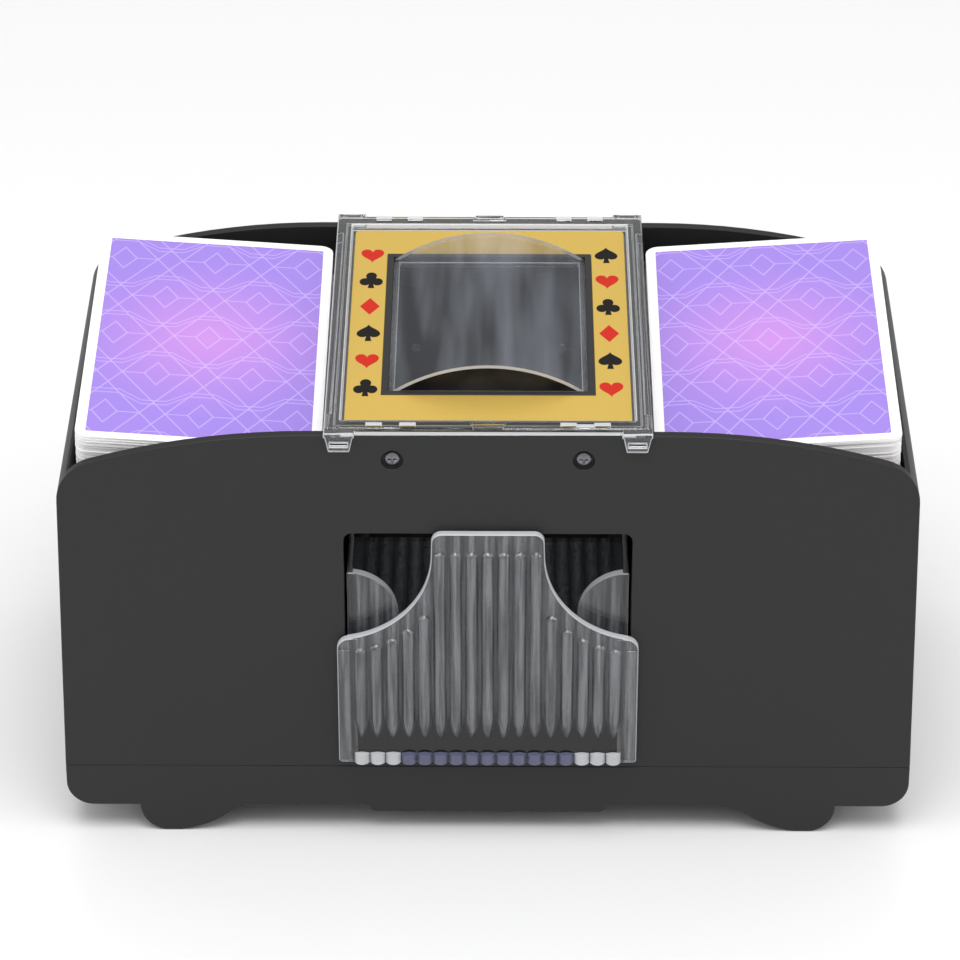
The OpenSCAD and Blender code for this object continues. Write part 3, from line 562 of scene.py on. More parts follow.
# Its two end panes, thinner still, with a warm tint that is a painted reflection of the gold plate.
SMOKED_PANE_PAINTED_REFLECTION = Film("polystyrene_smoked_pane", "#8d8a82", 0.06, ior=1.57, cover=0.06)
# Milky styrene: partly the real look of a cut edge, and mainly a painted highlight on the rounded
# edges of the cover, vault and tray, on the clip tops and on the outer foot knobs.
MILKY_PAINTED_HIGHLIGHT = Clear("polystyrene_cut_edge", "#e9ebef", 0.4, ior=1.5, transmission=0.45)
# Blue-grey styrene on the middle foot knobs: a dimmer painted highlight than the white one on the
# outer knobs.
FOOT_KNOB_DIM_PAINTED_HIGHLIGHT = Clear("polystyrene_foot_band", "#6f7190", 0.3, ior=1.5, transmission=0.4)
# The tray's ribbed plate: a little milky from its flow, with painted highlight stripes and painted
# shade between the ribs, and painted shade at its foot for the dark gap seen through it.
RIBBED = RibbedClear("polystyrene_tray_ribbed", "#d9dce1", 0.1, ior=1.55, transmission=0.83)
# Zinc-plated screw heads, dulled.
SCREW_ZINC = Brushed("steel_zinc_dull", "#85868a", 0.4, 1.0)
# Printed black gasket line round the window.
FRAME_BLACK = Moulded("abs_window_frame_black", "#100e0b", 0.4)
# Card stock, coated white.
STOCK = Paper("card_stock_white", "#f3f1f2", 0.42)
# Screen-printed inks on the gold plate: slightly raised, semi-gloss.
INK_RED = Moulded("screen_ink_red", "#bd1d08", 0.5, ior=1.3, grain_mm=0.3, grain_depth_mm=0.003)
INK_BLACK = Moulded("screen_ink_black", "#080501", 0.6, ior=1.3, grain_mm=0.3, grain_depth_mm=0.003)
# Shrink sleeve of the cells: glossy green film.
SLEEVE = Moulded("cell_sleeve_green", "#2f5a3d", 0.28, grain_mm=2.0)
# Button moulded in satin black, smoother than the housing.
BUTTON = Moulded("abs_button_satin", "#151516", 0.4, grain_mm=0.3)


# ---------------------------------------------------------------- pieces


def mesh_of(name: str, shape: Shape) -> bpy.types.Mesh:
    """Turns a shape into a mesh.

    Args:
        name: Name of the mesh.
        shape: The shape; it is freed here.

    Returns:
        The mesh.
    """
    mesh = bpy.data.meshes.new(name)
    shape.to_mesh(mesh)
    shape.free()
    return mesh


def new_object(name: str, data: bpy.types.ID) -> bpy.types.Object:
    """Puts a mesh, a light or a camera in the scene.

    Args:
        name: Name of its object.
        data: The mesh, light or camera.

    Returns:
        The new object.
    """
    made = bpy.data.objects.new(name, data)
    bpy.context.scene.collection.objects.link(made)
    return made


def place_piece(
    name: str,
    shape: Shape,
    finish: Finish,
    body: str,
    replaces: Sequence[str] = (),
    smooth_deg: float = 32.0,
    inside: Finish | None = None,
) -> bpy.types.Object:
    """Makes a finished object from a shape and hangs it on a CAD body.

    Args:
        name: Name of the piece.
        shape: Its shape in the frame's metres; it is freed here.
        finish: What it is made of.
        body: CAD body that it moves with.
        replaces: CAD nodes that it stands for.
        smooth_deg: Faces that meet at less than this angle are shaded as one.
        inside: Finish of the faces whose material index is 1.

    Returns:
        The new object.
    """
    mesh = mesh_of(name, shape)
    mesh.shade_smooth()
    mesh.set_sharp_from_angle(angle=math.radians(smooth_deg))
    piece = new_object(name, mesh)
    mesh.materials.append(finish.material())
    if inside is not None:
        mesh.materials.append(inside.material())
    flat = piece.modifiers.new("flat_faces_stay_flat", "WEIGHTED_NORMAL")
    flat.keep_sharp = True
    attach(piece, body)
    if replaces:
        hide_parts(*replaces)
    LOG.info("piece %s on %s, %d faces", name, body, len(mesh.polygons))
    return piece


def room_beside(edge: bmesh.types.BMEdge) -> float:
    """Measures how far the faces beside an edge reach from its middle.

    Args:
        edge: The edge.

    Returns:
        The reach on the nearer side, in metres.
    """
    room = math.inf
    for loop in edge.link_loops:
        start, end = loop.vert.co, loop.link_loop_next.vert.co
        middle = (start + end) / 2
        way = (end - start).normalized()
        inward = loop.face.normal.cross(way)
        for other in loop.face.loops:
            if other is loop:
                continue
            a, b = other.vert.co - middle, other.link_loop_next.vert.co - middle
            along_a, along_b = a.dot(way), b.dot(way)
            if along_a * along_b > 0 or along_a == along_b:
                continue
            reach = a.lerp(b, along_a / (along_a - along_b)).dot(inward)
            if reach > 0:
                room = min(room, reach)
    return room


def bevelled(
    shape: Shape, geom: Sequence, width: float, affect: str = "EDGES", segments: int = 3
) -> None:
    """Bevels edges or corners to a round profile.

    Args:
        shape: Shape that they belong to.
        geom: The edges or the corners.
        width: Width of the bevel in metres.
        affect: "EDGES" or "VERTICES".
        segments: Number of steps in the rounding.
    """
    bmesh.ops.bevel(
        shape,
        geom=geom,
        offset=width,
        offset_type="OFFSET",
        affect=affect,
        segments=segments,
        profile=0.5,
        material=-1,
        clamp_overlap=False,
    )


def thickened(shape: Shape, way: Sequence[float]) -> None:
    """Gives a flat shape its thickness and turns its faces outwards.

    Args:
        shape: Shape made of one or more faces in a plane.
        way: Direction and thickness, in metres.
    """
    grown = bmesh.ops.extrude_face_region(shape, geom=shape.faces[:], use_keep_orig=True)
    moved = [v for v in grown["geom"] if isinstance(v, bmesh.types.BMVert)]
    bmesh.ops.translate(shape, vec=way, verts=moved)
    bmesh.ops.recalc_face_normals(shape, faces=shape.faces)


def round_edges(shape: Shape, edge_mm: float, room: float = 2.2) -> None:
    """Rounds each sharp edge that has room beside it.

    Args:
        shape: Shape to round.
        edge_mm: Width of the rounding.
        room: How many times that width the faces beside the edge have to reach.
    """
    corner = math.radians(SHARP_DEG)
    sharp = [e for e in shape.edges if e.is_manifold and e.calc_face_angle(0.0) > corner]
    roomy = [e for e in sharp if room_beside(e) > room * edge_mm * MM]
    bevelled(shape, roomy, edge_mm * MM)


def softened(node: str, widths_mm: Sequence[float]) -> Shape:
    """Copies a CAD node's mesh and rounds its sharp edges.

    Args:
        node: Name of the CAD node.
        widths_mm: Widths of the rounding, the widest first; each edge gets the first that fits.

    Returns:
        The rounded copy.
    """
    shape = bmesh.new()
    shape.from_mesh(frame["nodes"][node].data)
    bmesh.ops.remove_doubles(shape, verts=shape.verts, dist=0.002 * MM)
    bmesh.ops.dissolve_limit(
        shape, angle_limit=math.radians(0.3), verts=shape.verts, edges=shape.edges
    )
    for width_mm in widths_mm:
        round_edges(shape, width_mm)
    bmesh.ops.recalc_face_normals(shape, faces=shape.faces)
    return shape


def combined(base: Shape, steps: Sequence[tuple[str, Shape]]) -> Shape:
    """Adds shapes to a shape, or cuts them out of it.

    Args:
        base: Shape to start from; it is freed here.
        steps: What to do ("UNION" or "DIFFERENCE") and with what shape; each is freed here.

    Returns:
        The one closed shape that is left.
    """
    holders = []
    for shape in (base, *(shape for _, shape in steps)):
        holders.append(new_object("work", mesh_of("work", shape)))
    for (operation, _), tool in zip(steps, holders[1:]):
        step = holders[0].modifiers.new("work", "BOOLEAN")
        step.operation = operation
        step.solver = "EXACT"
        step.object = tool
    done = holders[0].evaluated_get(bpy.context.evaluated_depsgraph_get())
    result = bmesh.new()
    result.from_mesh(done.to_mesh())
    done.to_mesh_clear()
    for holder in holders:
        bpy.data.meshes.remove(holder.data)
    bmesh.ops.remove_doubles(result, verts=result.verts, dist=0.0005 * MM)
    return result


def box_shape(low: Sequence[float], high: Sequence[float], soft_mm: float = 0.0) -> Shape:
    """Makes a box.

    Args:
        low: Its least X, Y and Z in millimetres.
        high: Its greatest X, Y and Z.
        soft_mm: Width of the rounding of its edges.

    Returns:
        The box.
    """
    shape = bmesh.new()
    bmesh.ops.create_cube(shape, size=MM)
    size = Vector(high) - Vector(low)
    bmesh.ops.scale(shape, vec=size, verts=shape.verts)
    bmesh.ops.translate(shape, vec=(Vector(low) + Vector(high)) / 2 * MM, verts=shape.verts)
    if soft_mm:
        round_edges(shape, soft_mm)
    return shape


def arc(
    centre: Pair, radius: float, start_deg: float, end_deg: float, steps: int = 8
) -> list[Pair]:
    """Divides an arc, seen from the front.

    Args:
        centre: X and Z of its centre.
        radius: Its radius.
        start_deg: Angle of its start, anticlockwise from X.
        end_deg: Angle of its end.
        steps: Number of chords.

    Returns:
        X and Z of its points, both ends included.
    """
    turns = [math.radians(start_deg + (end_deg - start_deg) * i / steps) for i in range(steps + 1)]
    return [(centre[0] + radius * math.cos(t), centre[1] + radius * math.sin(t)) for t in turns]


def panel_shape(
    outline: Sequence[Pair], front: float, back: float, soft_mm: float = 0.0
) -> Shape:
    """Makes an upright panel from its outline seen from the front.

    Args:
        outline: Corners in X and Z, in millimetres, counter-clockwise.
        front: Y of its front face in millimetres.
        back: Y of its back face in millimetres.
        soft_mm: Width of the rounding round both faces.

    Returns:
        The panel.
    """
    shape = bmesh.new()
    shape.faces.new([shape.verts.new((x * MM, front * MM, z * MM)) for x, z in outline])
    thickened(shape, (0, (back - front) * MM, 0))
    if soft_mm:
        rims = [f for f in shape.faces if abs(f.normal.y) > 0.9]
        bevelled(shape, [e for f in rims for e in f.edges], soft_mm * MM)
    return shape


def rounded_slab(
    low: Sequence[float], high: Sequence[float], corner: float, thickness: float
) -> Shape:
    """Makes a flat slab with rounded upright corners, lying on Z = 0.

    Args:
        low: Least X and Y in metres.
        high: Greatest X and Y.
        corner: Radius of the corners.
        thickness: Height of the slab.

    Returns:
        The slab.
    """
    shape = bmesh.new()
    bmesh.ops.create_grid(shape, x_segments=1, y_segments=1, size=0.5)
    size = Vector((high[0] - low[0], high[1] - low[1], 1.0))
    middle = Vector(((high[0] + low[0]) / 2, (high[1] + low[1]) / 2, 0.0))
    bmesh.ops.scale(shape, vec=size, verts=shape.verts)
    bmesh.ops.translate(shape, vec=middle, verts=shape.verts)
    bevelled(shape, shape.verts[:], corner, "VERTICES", 4)
    thickened(shape, (0, 0, thickness))
    return shape


def join_shape(target: Shape, part: Shape) -> None:
    """Adds a part to a shape.

    Args:
        target: Shape that gets the part.
        part: The part; it is freed here.
    """
    mesh = mesh_of("join", part)
    target.from_mesh(mesh)
    bpy.data.meshes.remove(mesh)


# ---------------------------------------------------------------- sub-assemblies


@dataclass
class Mouldings:
    """CAD nodes that keep their shape and get softened edges and a finish."""

    softened_nodes: dict[str, tuple[Finish, tuple[float, ...]]] = field(
        default_factory=lambda: {
            "upper_housing": (HOUSING, (0.3,)),
            "base_shell": (HOUSING, (0.3,)),
            "battery_door": (HOUSING, (0.3,)),
            "sole_pads": (RUBBER, (0.3,)),
            "push_button": (BUTTON, (0.5, 0.2)),
            "gate_frame": (BLACK_AND_PAINTED_SHADE, (0.3,)),
            "gear_plate": (BLACK_AND_PAINTED_SHADE, (0.25,)),
            "left_card_ramp": (BLACK_AND_PAINTED_SHADE, (0.15,)),
            "right_card_ramp": (BLACK_AND_PAINTED_SHADE, (0.15,)),
            "left_tray_rail": (BLACK_AND_PAINTED_SHADE, (0.3,)),
            "right_tray_rail": (BLACK_AND_PAINTED_SHADE, (0.3,)),
            "motor_cradle": (BLACK_AND_PAINTED_SHADE, (0.3,)),
            "battery_holder": (BLACK_AND_PAINTED_SHADE, (0.3,)),
            "switch_block": (BLACK_AND_PAINTED_SHADE, (0.2,)),
            "motor_can": (ZINC, (0.4,)),
            "motor_clamp": (ZINC, (0.15,)),
            "motor_end_bell": (NYLON, (0.2,)),
            "battery_cells": (SLEEVE, (0.4,)),
            "left_roller_tyres": (TYRE, (0.35,)),
            "right_roller_tyres": (TYRE, (0.35,)),
            "left_roller_hubs": (NYLON, (0.2,)),
            "right_roller_hubs": (NYLON, (0.2,)),
            "left_roller_shaft": (STEEL, (0.2,)),
            "right_roller_shaft": (STEEL, (0.2,)),
            "motor_shaft": (STEEL, (0.15,)),
            "gear_axles": (STEEL, (0.15,)),
            "shaft_bushes": (BRONZE, (0.2,)),
            "panel_screws": (SCREW_ZINC, (0.12,)),
            "base_screws": (NICKEL, (0.12,)),
        }
    )
    kept_nodes: dict[str, Finish] = field(
        default_factory=lambda: {
            "battery_contacts": NICKEL,
            "left_roller_gear": ACETAL,
            "right_roller_gear": ACETAL,
            "left_idler_gear": ACETAL,
            "right_idler_gear": ACETAL,
            "reduction_gear": ACETAL,
            "motor_pinion": BRASS,
        }
    )
    shells: tuple[str, ...] = ("upper_housing", "base_shell")
    end_margin_mm: float = 3.5 / 3
    side_margin_mm: float = 10.5

    def build(self) -> None:
        """Makes the softened pieces and paints the kept nodes."""
        nodes_of = frame["record"]["behaviour"]["bodies"]
        bodies = {node: body for body, nodes in nodes_of.items() for node in nodes}
        slots = {s["node"]: s["material_slot"] for s in frame["record"]["subparts"]}
        for node, (finish, widths_mm) in self.softened_nodes.items():
            shape = softened(node, widths_mm)
            # The shells' inner faces and upper rims get the darker black as painted shade.
            inside = BLACK_AND_PAINTED_SHADE if node in self.shells else None
            if inside is not None:
                self.paint_shade_inside(shape)
            name, body, slot = f"{node}_soft", bodies[node], slots[node]
            place_piece(name, shape, finish, body, [node], inside=inside)
        for node, finish in self.kept_nodes.items():
            piece = frame["nodes"][node]
            piece.data.materials.clear()
            piece.data.materials.append(finish.material())
            LOG.info("kept node %s", node)

    def paint_shade_inside(self, shape: Shape) -> None:
        """Gives a shell's inner faces and upper rims material index 1, the darker black that paints
        shade on them.

        The outer faces are the ones that look out of the housing's box from within a margin of
        it: less than half a wall at the front and rear, and more at the sides, because they lean.

        Args:
            shape: The shell.
        """
        low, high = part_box("upper_housing")
        margin = Vector((self.side_margin_mm, self.end_margin_mm)) * MM
        for face in shape.faces:
            middle, normal = face.calc_center_median(), face.normal
            out = (
                (normal.y < -0.5 and middle.y < low.y + margin.y)
                or (normal.y > 0.5 and middle.y > high.y - margin.y)
                or (normal.x < -0.45 and middle.x < low.x + margin.x)
                or (normal.x > 0.45 and middle.x > high.x - margin.x)
                or normal.z < -0.3
            )
            face.material_index = 0 if out else 1


@dataclass
class CardDeck:
    """One deck on its ramp: 52 separate cards, the top one with its printed back."""

    side: Side
    cards: int = 52
    corner_mm: float = 3.0
    border_mm: float = 2.4
    gap_share: float = 0.16
    jitter_mm: float = 0.16
    film_mm: float = 0.02
    print_corner_mm: float = 0.5
    back_colour: str = "#9277cf"
    back_roughness: float = 0.4
    seed: int = 7

    def __post_init__(self) -> None:
        """Reads where the CAD deck lies and how its two faces slope."""
        name = self.side.name.lower()
        self.node, self.body = f"{name}_deck", f"{name}_cards"
        low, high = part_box(self.node)
        self.y_low, self.y_high = low.y, high.y
        self.x_in = low.x if self.side is Side.RIGHT else high.x
        self.x_out = high.x if self.side is Side.RIGHT else low.x
        self.bottom = self.face_slope(min)
        self.top = self.face_slope(max)

    def face_slope(self, pick: Callable[[Iterable[float]], float]) -> tuple[float, float, float]:
        """Reads how the deck's upper or lower face lies.

        Args:
            pick: max for the upper face, min for the lower one.

        Returns:
            Its height at X = Y = 0, and its slopes along X and Y.
        """
        points = [v.co for v in frame["nodes"][self.node].data.vertices]
        sides = [[p for p in points if abs(p.x - x) < 0.01 * MM] for x in (self.x_in, self.x_out)]
        corners = []
        for side in sides:
            for y in (min(p.y for p in side), max(p.y for p in side)):
                z = pick(p.z for p in side if abs(p.y - y) < 0.1 * MM)
                corners.append(Vector((side[0].x, y, z)))
        in_front, in_rear, out_front, _ = corners
        slope_x = (out_front.z - in_front.z) / (out_front.x - in_front.x)
        slope_y = (in_rear.z - in_front.z) / (in_rear.y - in_front.y)
        return (in_front.z - slope_x * in_front.x - slope_y * in_front.y, slope_x, slope_y)

    def tilt(self, shape: Shape, share: float) -> None:
        """Leans a level shape and lifts it to its place in the deck.

        Args:
            shape: The shape.
            share: Its height as a share of the deck's.
        """
        height, slope_x, slope_y = (b + (t - b) * share for b, t in zip(self.bottom, self.top))
        lean = Matrix.Identity(4)
        lean[2][0], lean[2][1], lean[2][3] = slope_x, slope_y, height
        shape.transform(lean)

    def height(self, face: tuple[float, float, float]) -> float:
        """Returns how high a deck's face is at its inner front corner."""
        return face[0] + face[1] * self.x_in + face[2] * self.y_low

    def card(self, inset: float, thickness: float, corner: float) -> Shape:
        """Makes one level card.

        Args:
            inset: How much smaller it is than the deck on each side, in metres.
            thickness: Its thickness.
            corner: Radius of its corners.

        Returns:
            The card.
        """
        x_low, x_high = sorted((self.x_in, self.x_out))
        low = (x_low + inset, self.y_low + inset)
        high = (x_high - inset, self.y_high - inset)
        return rounded_slab(low, high, corner, thickness)

    def build(self) -> None:
        """Stacks the cards and prints the top one's back."""
        draw = random.Random(self.seed + self.side.value)
        stack = bmesh.new()
        thin = (self.height(self.top) - self.height(self.bottom)) / self.cards
        thickness = thin * (1 - self.gap_share)
        for i in range(self.cards):
            one = self.card(0.0, thickness, self.corner_mm * MM)
            if i < self.cards - 1:
                out = self.side.value * draw.uniform(0, self.jitter_mm) * MM
                along = draw.uniform(-self.jitter_mm, self.jitter_mm) * MM
                bmesh.ops.translate(one, vec=(out, along, 0), verts=one.verts)
            self.tilt(one, (i + self.gap_share) / self.cards)
            join_shape(stack, one)
        place_piece(
            f"{self.node}_cards", stack, STOCK, self.body, [self.node], smooth_deg=25
        )
        printed = self.card(self.border_mm * MM, self.film_mm * MM, self.print_corner_mm * MM)
        self.tilt(printed, (self.cards - 1 + self.gap_share) / self.cards)
        bmesh.ops.translate(printed, vec=(0, 0, thickness), verts=printed.verts)
        middle = ((self.x_in + self.x_out) / 2, (self.y_low + self.y_high) / 2, 0.0)
        name = f"card_back_print_{self.side.name.lower()}"
        back = CardBack(name, self.back_colour, self.back_roughness, centre=middle)
        place_piece(f"{self.node}_back_print", printed, back, self.body)


@dataclass
class SuitPrint:
    """One suit mark, printed on the gold plate as a raised film of ink."""

    suit: Suit
    wide_mm: float = 5.6
    long_mm: float = 7.4
    film_mm: float = 0.06
    steps: int = 72

    def lobes(self) -> list[list[Pair]]:
        """Draws the closed outlines, round a shared centre, that the mark is the union of.

        Returns:
            The outlines, for a mark about as wide and as long as 1.
        """
        turns = [2 * math.pi * i / 64 for i in range(64)]
        waves = ((13, 1), (-5, 2), (-2, 3), (-1, 4))
        heart = [
            (math.sin(t) ** 3 / 2, sum(size * math.cos(n * t) for size, n in waves) / 33)
            for t in turns
        ]
        if self.suit is Suit.HEART:
            return [heart]
        if self.suit is Suit.DIAMOND:
            return [[(0.42, 0.0), (0.0, 0.54), (-0.42, 0.0), (0.0, -0.54)]]
        stem = [(0.0, 0.05), (-0.17, -0.52), (0.17, -0.52)]
        if self.suit is Suit.SPADE:
            return [[(x, 0.06 - y * 0.92) for x, y in heart], stem]
        discs = [
            [(cx + 0.235 * math.cos(t), cy + 0.235 * math.sin(t)) for t in turns]
            for cx, cy in ((0.0, 0.29), (-0.27, -0.1), (0.27, -0.1), (0.0, 0.0))
        ]
        return [*discs, stem]

    def reach(self, angle: float) -> float:
        """Measures how far the mark reaches from its centre.

        Args:
            angle: Direction to measure in, in radians.

        Returns:
            The reach, on the scale of the outlines.
        """
        way = Vector((math.cos(angle), math.sin(angle)))
        side = Vector((-way.y, way.x))
        best = 0.0
        for outline in self.lobes():
            for a, b in zip(outline, [*outline[1:], outline[0]]):
                at, to = side.dot(Vector(a)), side.dot(Vector(b))
                if at * to > 0 or at == to:
                    continue
                share = at / (at - to)
                best = max(best, way.dot(Vector(a).lerp(Vector(b), share)))
        return best

    def shape(self, centre: Vector) -> Shape:
        """Makes the film of ink.

        Args:
            centre: Centre of its lower face.

        Returns:
            The film.
        """
        made = bmesh.new()
        bmesh.ops.create_circle(made, cap_ends=True, segments=self.steps, radius=1.0)
        for vert in made.verts:
            angle = math.atan2(vert.co.y, vert.co.x)
            reach = self.reach(angle) * MM
            vert.co = (vert.co.x * reach * self.wide_mm, vert.co.y * reach * self.long_mm, 0)
        thickened(made, (0, 0, self.film_mm * MM))
        bmesh.ops.translate(made, vec=centre, verts=made.verts)
        return made


@dataclass
class Cover:
    """Clear cover with its gold plate, printed suits, window frame and smoked vault."""

    suits_a_column: int = 6
    suit_reach_mm: float = 32.4
    suit_shift_mm: float = 1.4
    column_share: float = 0.45
    clip_x: Pair = (14.5, 26.5)
    clip_y: float = 49.3
    vault_t: float = 0.8
    vault_steps: int = 48
    pane_inset: float = 1.1
    pane_t: float = 0.8
    pane_gap: float = 0.05
    moulding_edge: float = 0.25
    sheet_edge: float = 0.15

    def build(self) -> None:
        """Makes every piece of the cover."""
        moulding = softened("clear_cover", (self.moulding_edge,))
        # Rounded edge faces and clip tops get the milky finish as a painted highlight.
        for face in moulding.faces:
            painted_bevel_highlight = max(abs(c) for c in face.normal) < 0.97
            face.material_index = 1 if painted_bevel_highlight or self.gets_painted_clip_highlight(face) else 0
        replaced, slot = ["clear_cover"], "clear_styrene"
        place_piece("cover_moulding", moulding, CRYSTAL, "cover", replaced, inside=MILKY_PAINTED_HIGHLIGHT)
        for node, finish, slot in (
            ("gold_plate", GOLD, "gold_aluminium"),
            ("window_frame", FRAME_BLACK, "frame_black"),
        ):
            sheet = softened(node, (self.sheet_edge,))
            place_piece(f"{node}_soft", sheet, finish, "cover", [node])
        self.raise_vault()
        self.print_suits()

    def gets_painted_clip_highlight(self, face: bmesh.types.BMFace) -> bool:
        """Finds the tops of the clips along the cover's ends, which get a painted highlight.

        Args:
            face: Face of the moulding.

        Returns:
            Whether it is the top of a clip.
        """
        middle = face.calc_center_median() / MM
        beside = self.clip_x[0] < abs(middle.x) < self.clip_x[1]
        return beside and abs(middle.y) > self.clip_y and face.normal.z > 0.9

    def raise_vault(self) -> None:
        """Makes the arched sheet over the window and the pane in each of its ends."""
        low, high = (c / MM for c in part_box("vault_window"))
        rise, half = high.z - low.z, high.x
        radius = (half**2 + rise**2) / (2 * rise)
        centre = (0.0, high.z - radius)
        spread = math.degrees(math.asin(half / radius))
        outer = arc(centre, radius, 90 - spread, 90 + spread, self.vault_steps)
        inner_radius = radius - self.vault_t
        inner_spread = math.degrees(math.acos((low.z - centre[1]) / inner_radius))
        inner = arc(centre, inner_radius, 90 - inner_spread, 90 + inner_spread, self.vault_steps)
        sheet = panel_shape([*outer, *reversed(inner)], low.y, high.y)
        # The sheet's end faces get the milky finish as a painted highlight along the arcs.
        for face in sheet.faces:
            face.material_index = 1 if abs(face.normal.y) > 0.3 else 0
        replaced, slot = ["vault_window"], "smoked_styrene"
        place_piece("vault_sheet", sheet, SMOKED, "cover", replaced, inside=MILKY_PAINTED_HIGHLIGHT)
        ends = (90 - inner_spread, 90 + inner_spread)
        chord = arc(centre, inner_radius - self.pane_gap, *ends, self.vault_steps)
        # The end panes carry a warm painted reflection of the gold plate.
        for name, y in (("front", low.y + self.pane_inset), ("rear", high.y - self.pane_inset)):
            pane = panel_shape(chord, y - self.pane_t / 2, y + self.pane_t / 2)
            place_piece(f"vault_{name}_pane", pane, SMOKED_PANE_PAINTED_REFLECTION, "cover")

    def print_suits(self) -> None:
        """Prints the two columns of suits beside the window."""
        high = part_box("gold_plate")[1]
        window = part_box("window_frame")[1].x
        column = window + (high.x - window) * self.column_share
        order = list(Suit)
        first = {Side.LEFT: order.index(Suit.HEART), Side.RIGHT: order.index(Suit.SPADE)}
        for side in Side:
            for i in range(self.suits_a_column):
                suit = order[(first[side] + i) % len(order)]
                ink = INK_RED if suit in (Suit.HEART, Suit.DIAMOND) else INK_BLACK
                share = 1 - 2 * i / (self.suits_a_column - 1)
                y = (self.suit_shift_mm + self.suit_reach_mm * share) * MM
                name = f"suit_{side.name.lower()}_{i + 1}_{suit.value}"
                mark = SuitPrint(suit).shape(Vector((side.value * column, y, high.z)))
                place_piece(name, mark, ink, "cover")


@dataclass
class Tray:
    """The clear pull-out tray: a bin, and a ribbed front plate with a handle."""

    bin_wall: float = 1.3
    floor_t: float = 1.6
    bin_half: float = 33.2
    bin_y: Pair = (-49.4, 43.6)
    bin_top: float = 72.6
    front_wall_t: float = 2.2
    ear_r: float = 12.0
    sill_z: float = 34.0
    rear_sill_z: float = 40.0
    plate_y: Pair = (-54.3, -52.2)
    plate_half: float = 35.6
    plate_bottom: float = 21.8
    plate_corner: float = 0.8
    shoulder_r: float = 3.0
    flare_centre: Pair = (36.3, 80.2)
    flare_r: float = 23.0
    handle_half: float = 13.2
    handle_top: float = 86.4
    handle_r: float = 2.4
    rib_r: float = 1.62
    rib_proud: float = 1.3
    rib_pitch: float = 3.76
    ribs_a_side: int = 8
    long_ribs_a_side: int = 3
    blue_knobs_a_side: int = 5
    rib_margin: float = 4.6
    long_rib_gap: float = 6.2
    rib_foot: Pair = (26.6, 34.5)
    knob_z: Pair = (22.0, 24.7)
    knob_gap: float = 0.02
    knob_dome: float = 0.4
    end_rib_size: tuple[float, float, float] = (1.5, 0.45, 0.6)
    end_rib_edge: float = 0.35
    tongue_inset: float = 0.5
    tongue_lap: float = 1.0
    tongue_lift: float = 0.1
    edge_mm: float = 0.45
    bin_edge: float = 0.4
    skin: float = 0.02
    cut_past: float = 5.0
    notch_past: float = 3.0

    def build(self) -> None:
        """Makes the tray in one clear piece, with a row of foot knobs that carry a painted
        highlight.
        """
        steps = [("UNION", self.tongue()), ("UNION", self.plate())]
        steps += [("UNION", self.rib(i)) for i in range(-self.ribs_a_side, self.ribs_a_side + 1)]
        steps += [("UNION", self.end_rib(side)) for side in Side]
        tray = combined(self.bin(), steps)
        # Edge faces get the milky finish as a painted highlight.
        for face in tray.faces:
            face.material_index = 1 if self.gets_painted_edge_highlight(face) else 0
        place_piece(
            "tray_moulding",
            tray,
            RIBBED,
            "tray",
            ["card_tray"],
            smooth_deg=40,
            inside=MILKY_PAINTED_HIGHLIGHT,
        )
        # The foot knobs are a painted highlight: white on the outer ones, dimmer and blue-grey on
        # the middle ones.
        outer, middle = bmesh.new(), bmesh.new()
        for i in range(-self.ribs_a_side, self.ribs_a_side + 1):
            join_shape(outer if abs(i) > self.blue_knobs_a_side else middle, self.knob(i))
        place_piece("tray_foot_knobs_outer", outer, MILKY_PAINTED_HIGHLIGHT, "tray")
        place_piece("tray_foot_knobs_middle", middle, FOOT_KNOB_DIM_PAINTED_HIGHLIGHT, "tray")

    def gets_painted_edge_highlight(self, face: bmesh.types.BMFace) -> bool:
        """Finds the edges of the plate and of the bin's front wall, which get a painted highlight.

        Args:
            face: Face of the tray.

        Returns:
            Whether it is part of such an edge.
        """
        middle = face.calc_center_median() / MM
        front, rear = self.bin_y[0], self.bin_y[0] + self.front_wall_t
        on_plate = self.plate_y[0] + self.skin < middle.y < self.plate_y[1]
        on_wall = front + self.skin < middle.y < rear - self.skin
        return abs(face.normal.y) < 0.93 and (on_plate or (on_wall and middle.z > self.sill_z))

    def bin(self) -> Shape:
        """Makes the bin with its two rounded ears at the front.

        Returns:
            The bin, open above, at the rear over its sill and at the front between the ears.
        """
        front, rear = self.bin_y
        low_z, over_z = self.plate_bottom, self.bin_top + self.cut_past
        half, inner = self.bin_half, self.bin_half - self.bin_wall
        front_inner = front + self.front_wall_t
        shape = box_shape((-half, front, low_z), (half, rear, self.bin_top), self.bin_edge)
        hollow_low = (-inner, front_inner, low_z + self.floor_t)
        hollow = box_shape(hollow_low, (inner, rear - self.bin_wall, over_z))
        gap_low = (-inner, rear - self.cut_past, self.rear_sill_z)
        rear_gap = box_shape(gap_low, (inner, rear + self.cut_past, over_z))
        ear = arc((-half, self.bin_top - self.ear_r), self.ear_r, 83, 0, 16)
        notch = [(-inner, over_z), *ear, (-half + self.ear_r, self.sill_z)]
        notch += [(-x, z) for x, z in reversed(notch)]
        gap = panel_shape(notch[::-1], front - self.notch_past, front_inner + self.notch_past)
        return combined(shape, [("DIFFERENCE", cut) for cut in (hollow, rear_gap, gap)])

    def tongue(self) -> Shape:
        """Makes the strip of floor that joins the bin to the plate.

        Returns:
            The strip.
        """
        half, lap = self.bin_half - self.tongue_inset, self.tongue_lap
        low = (-half, self.plate_y[0] + lap, self.plate_bottom + self.tongue_lift)
        high = (half, self.bin_y[0] + lap, self.plate_bottom + self.floor_t)
        return box_shape(low, high)

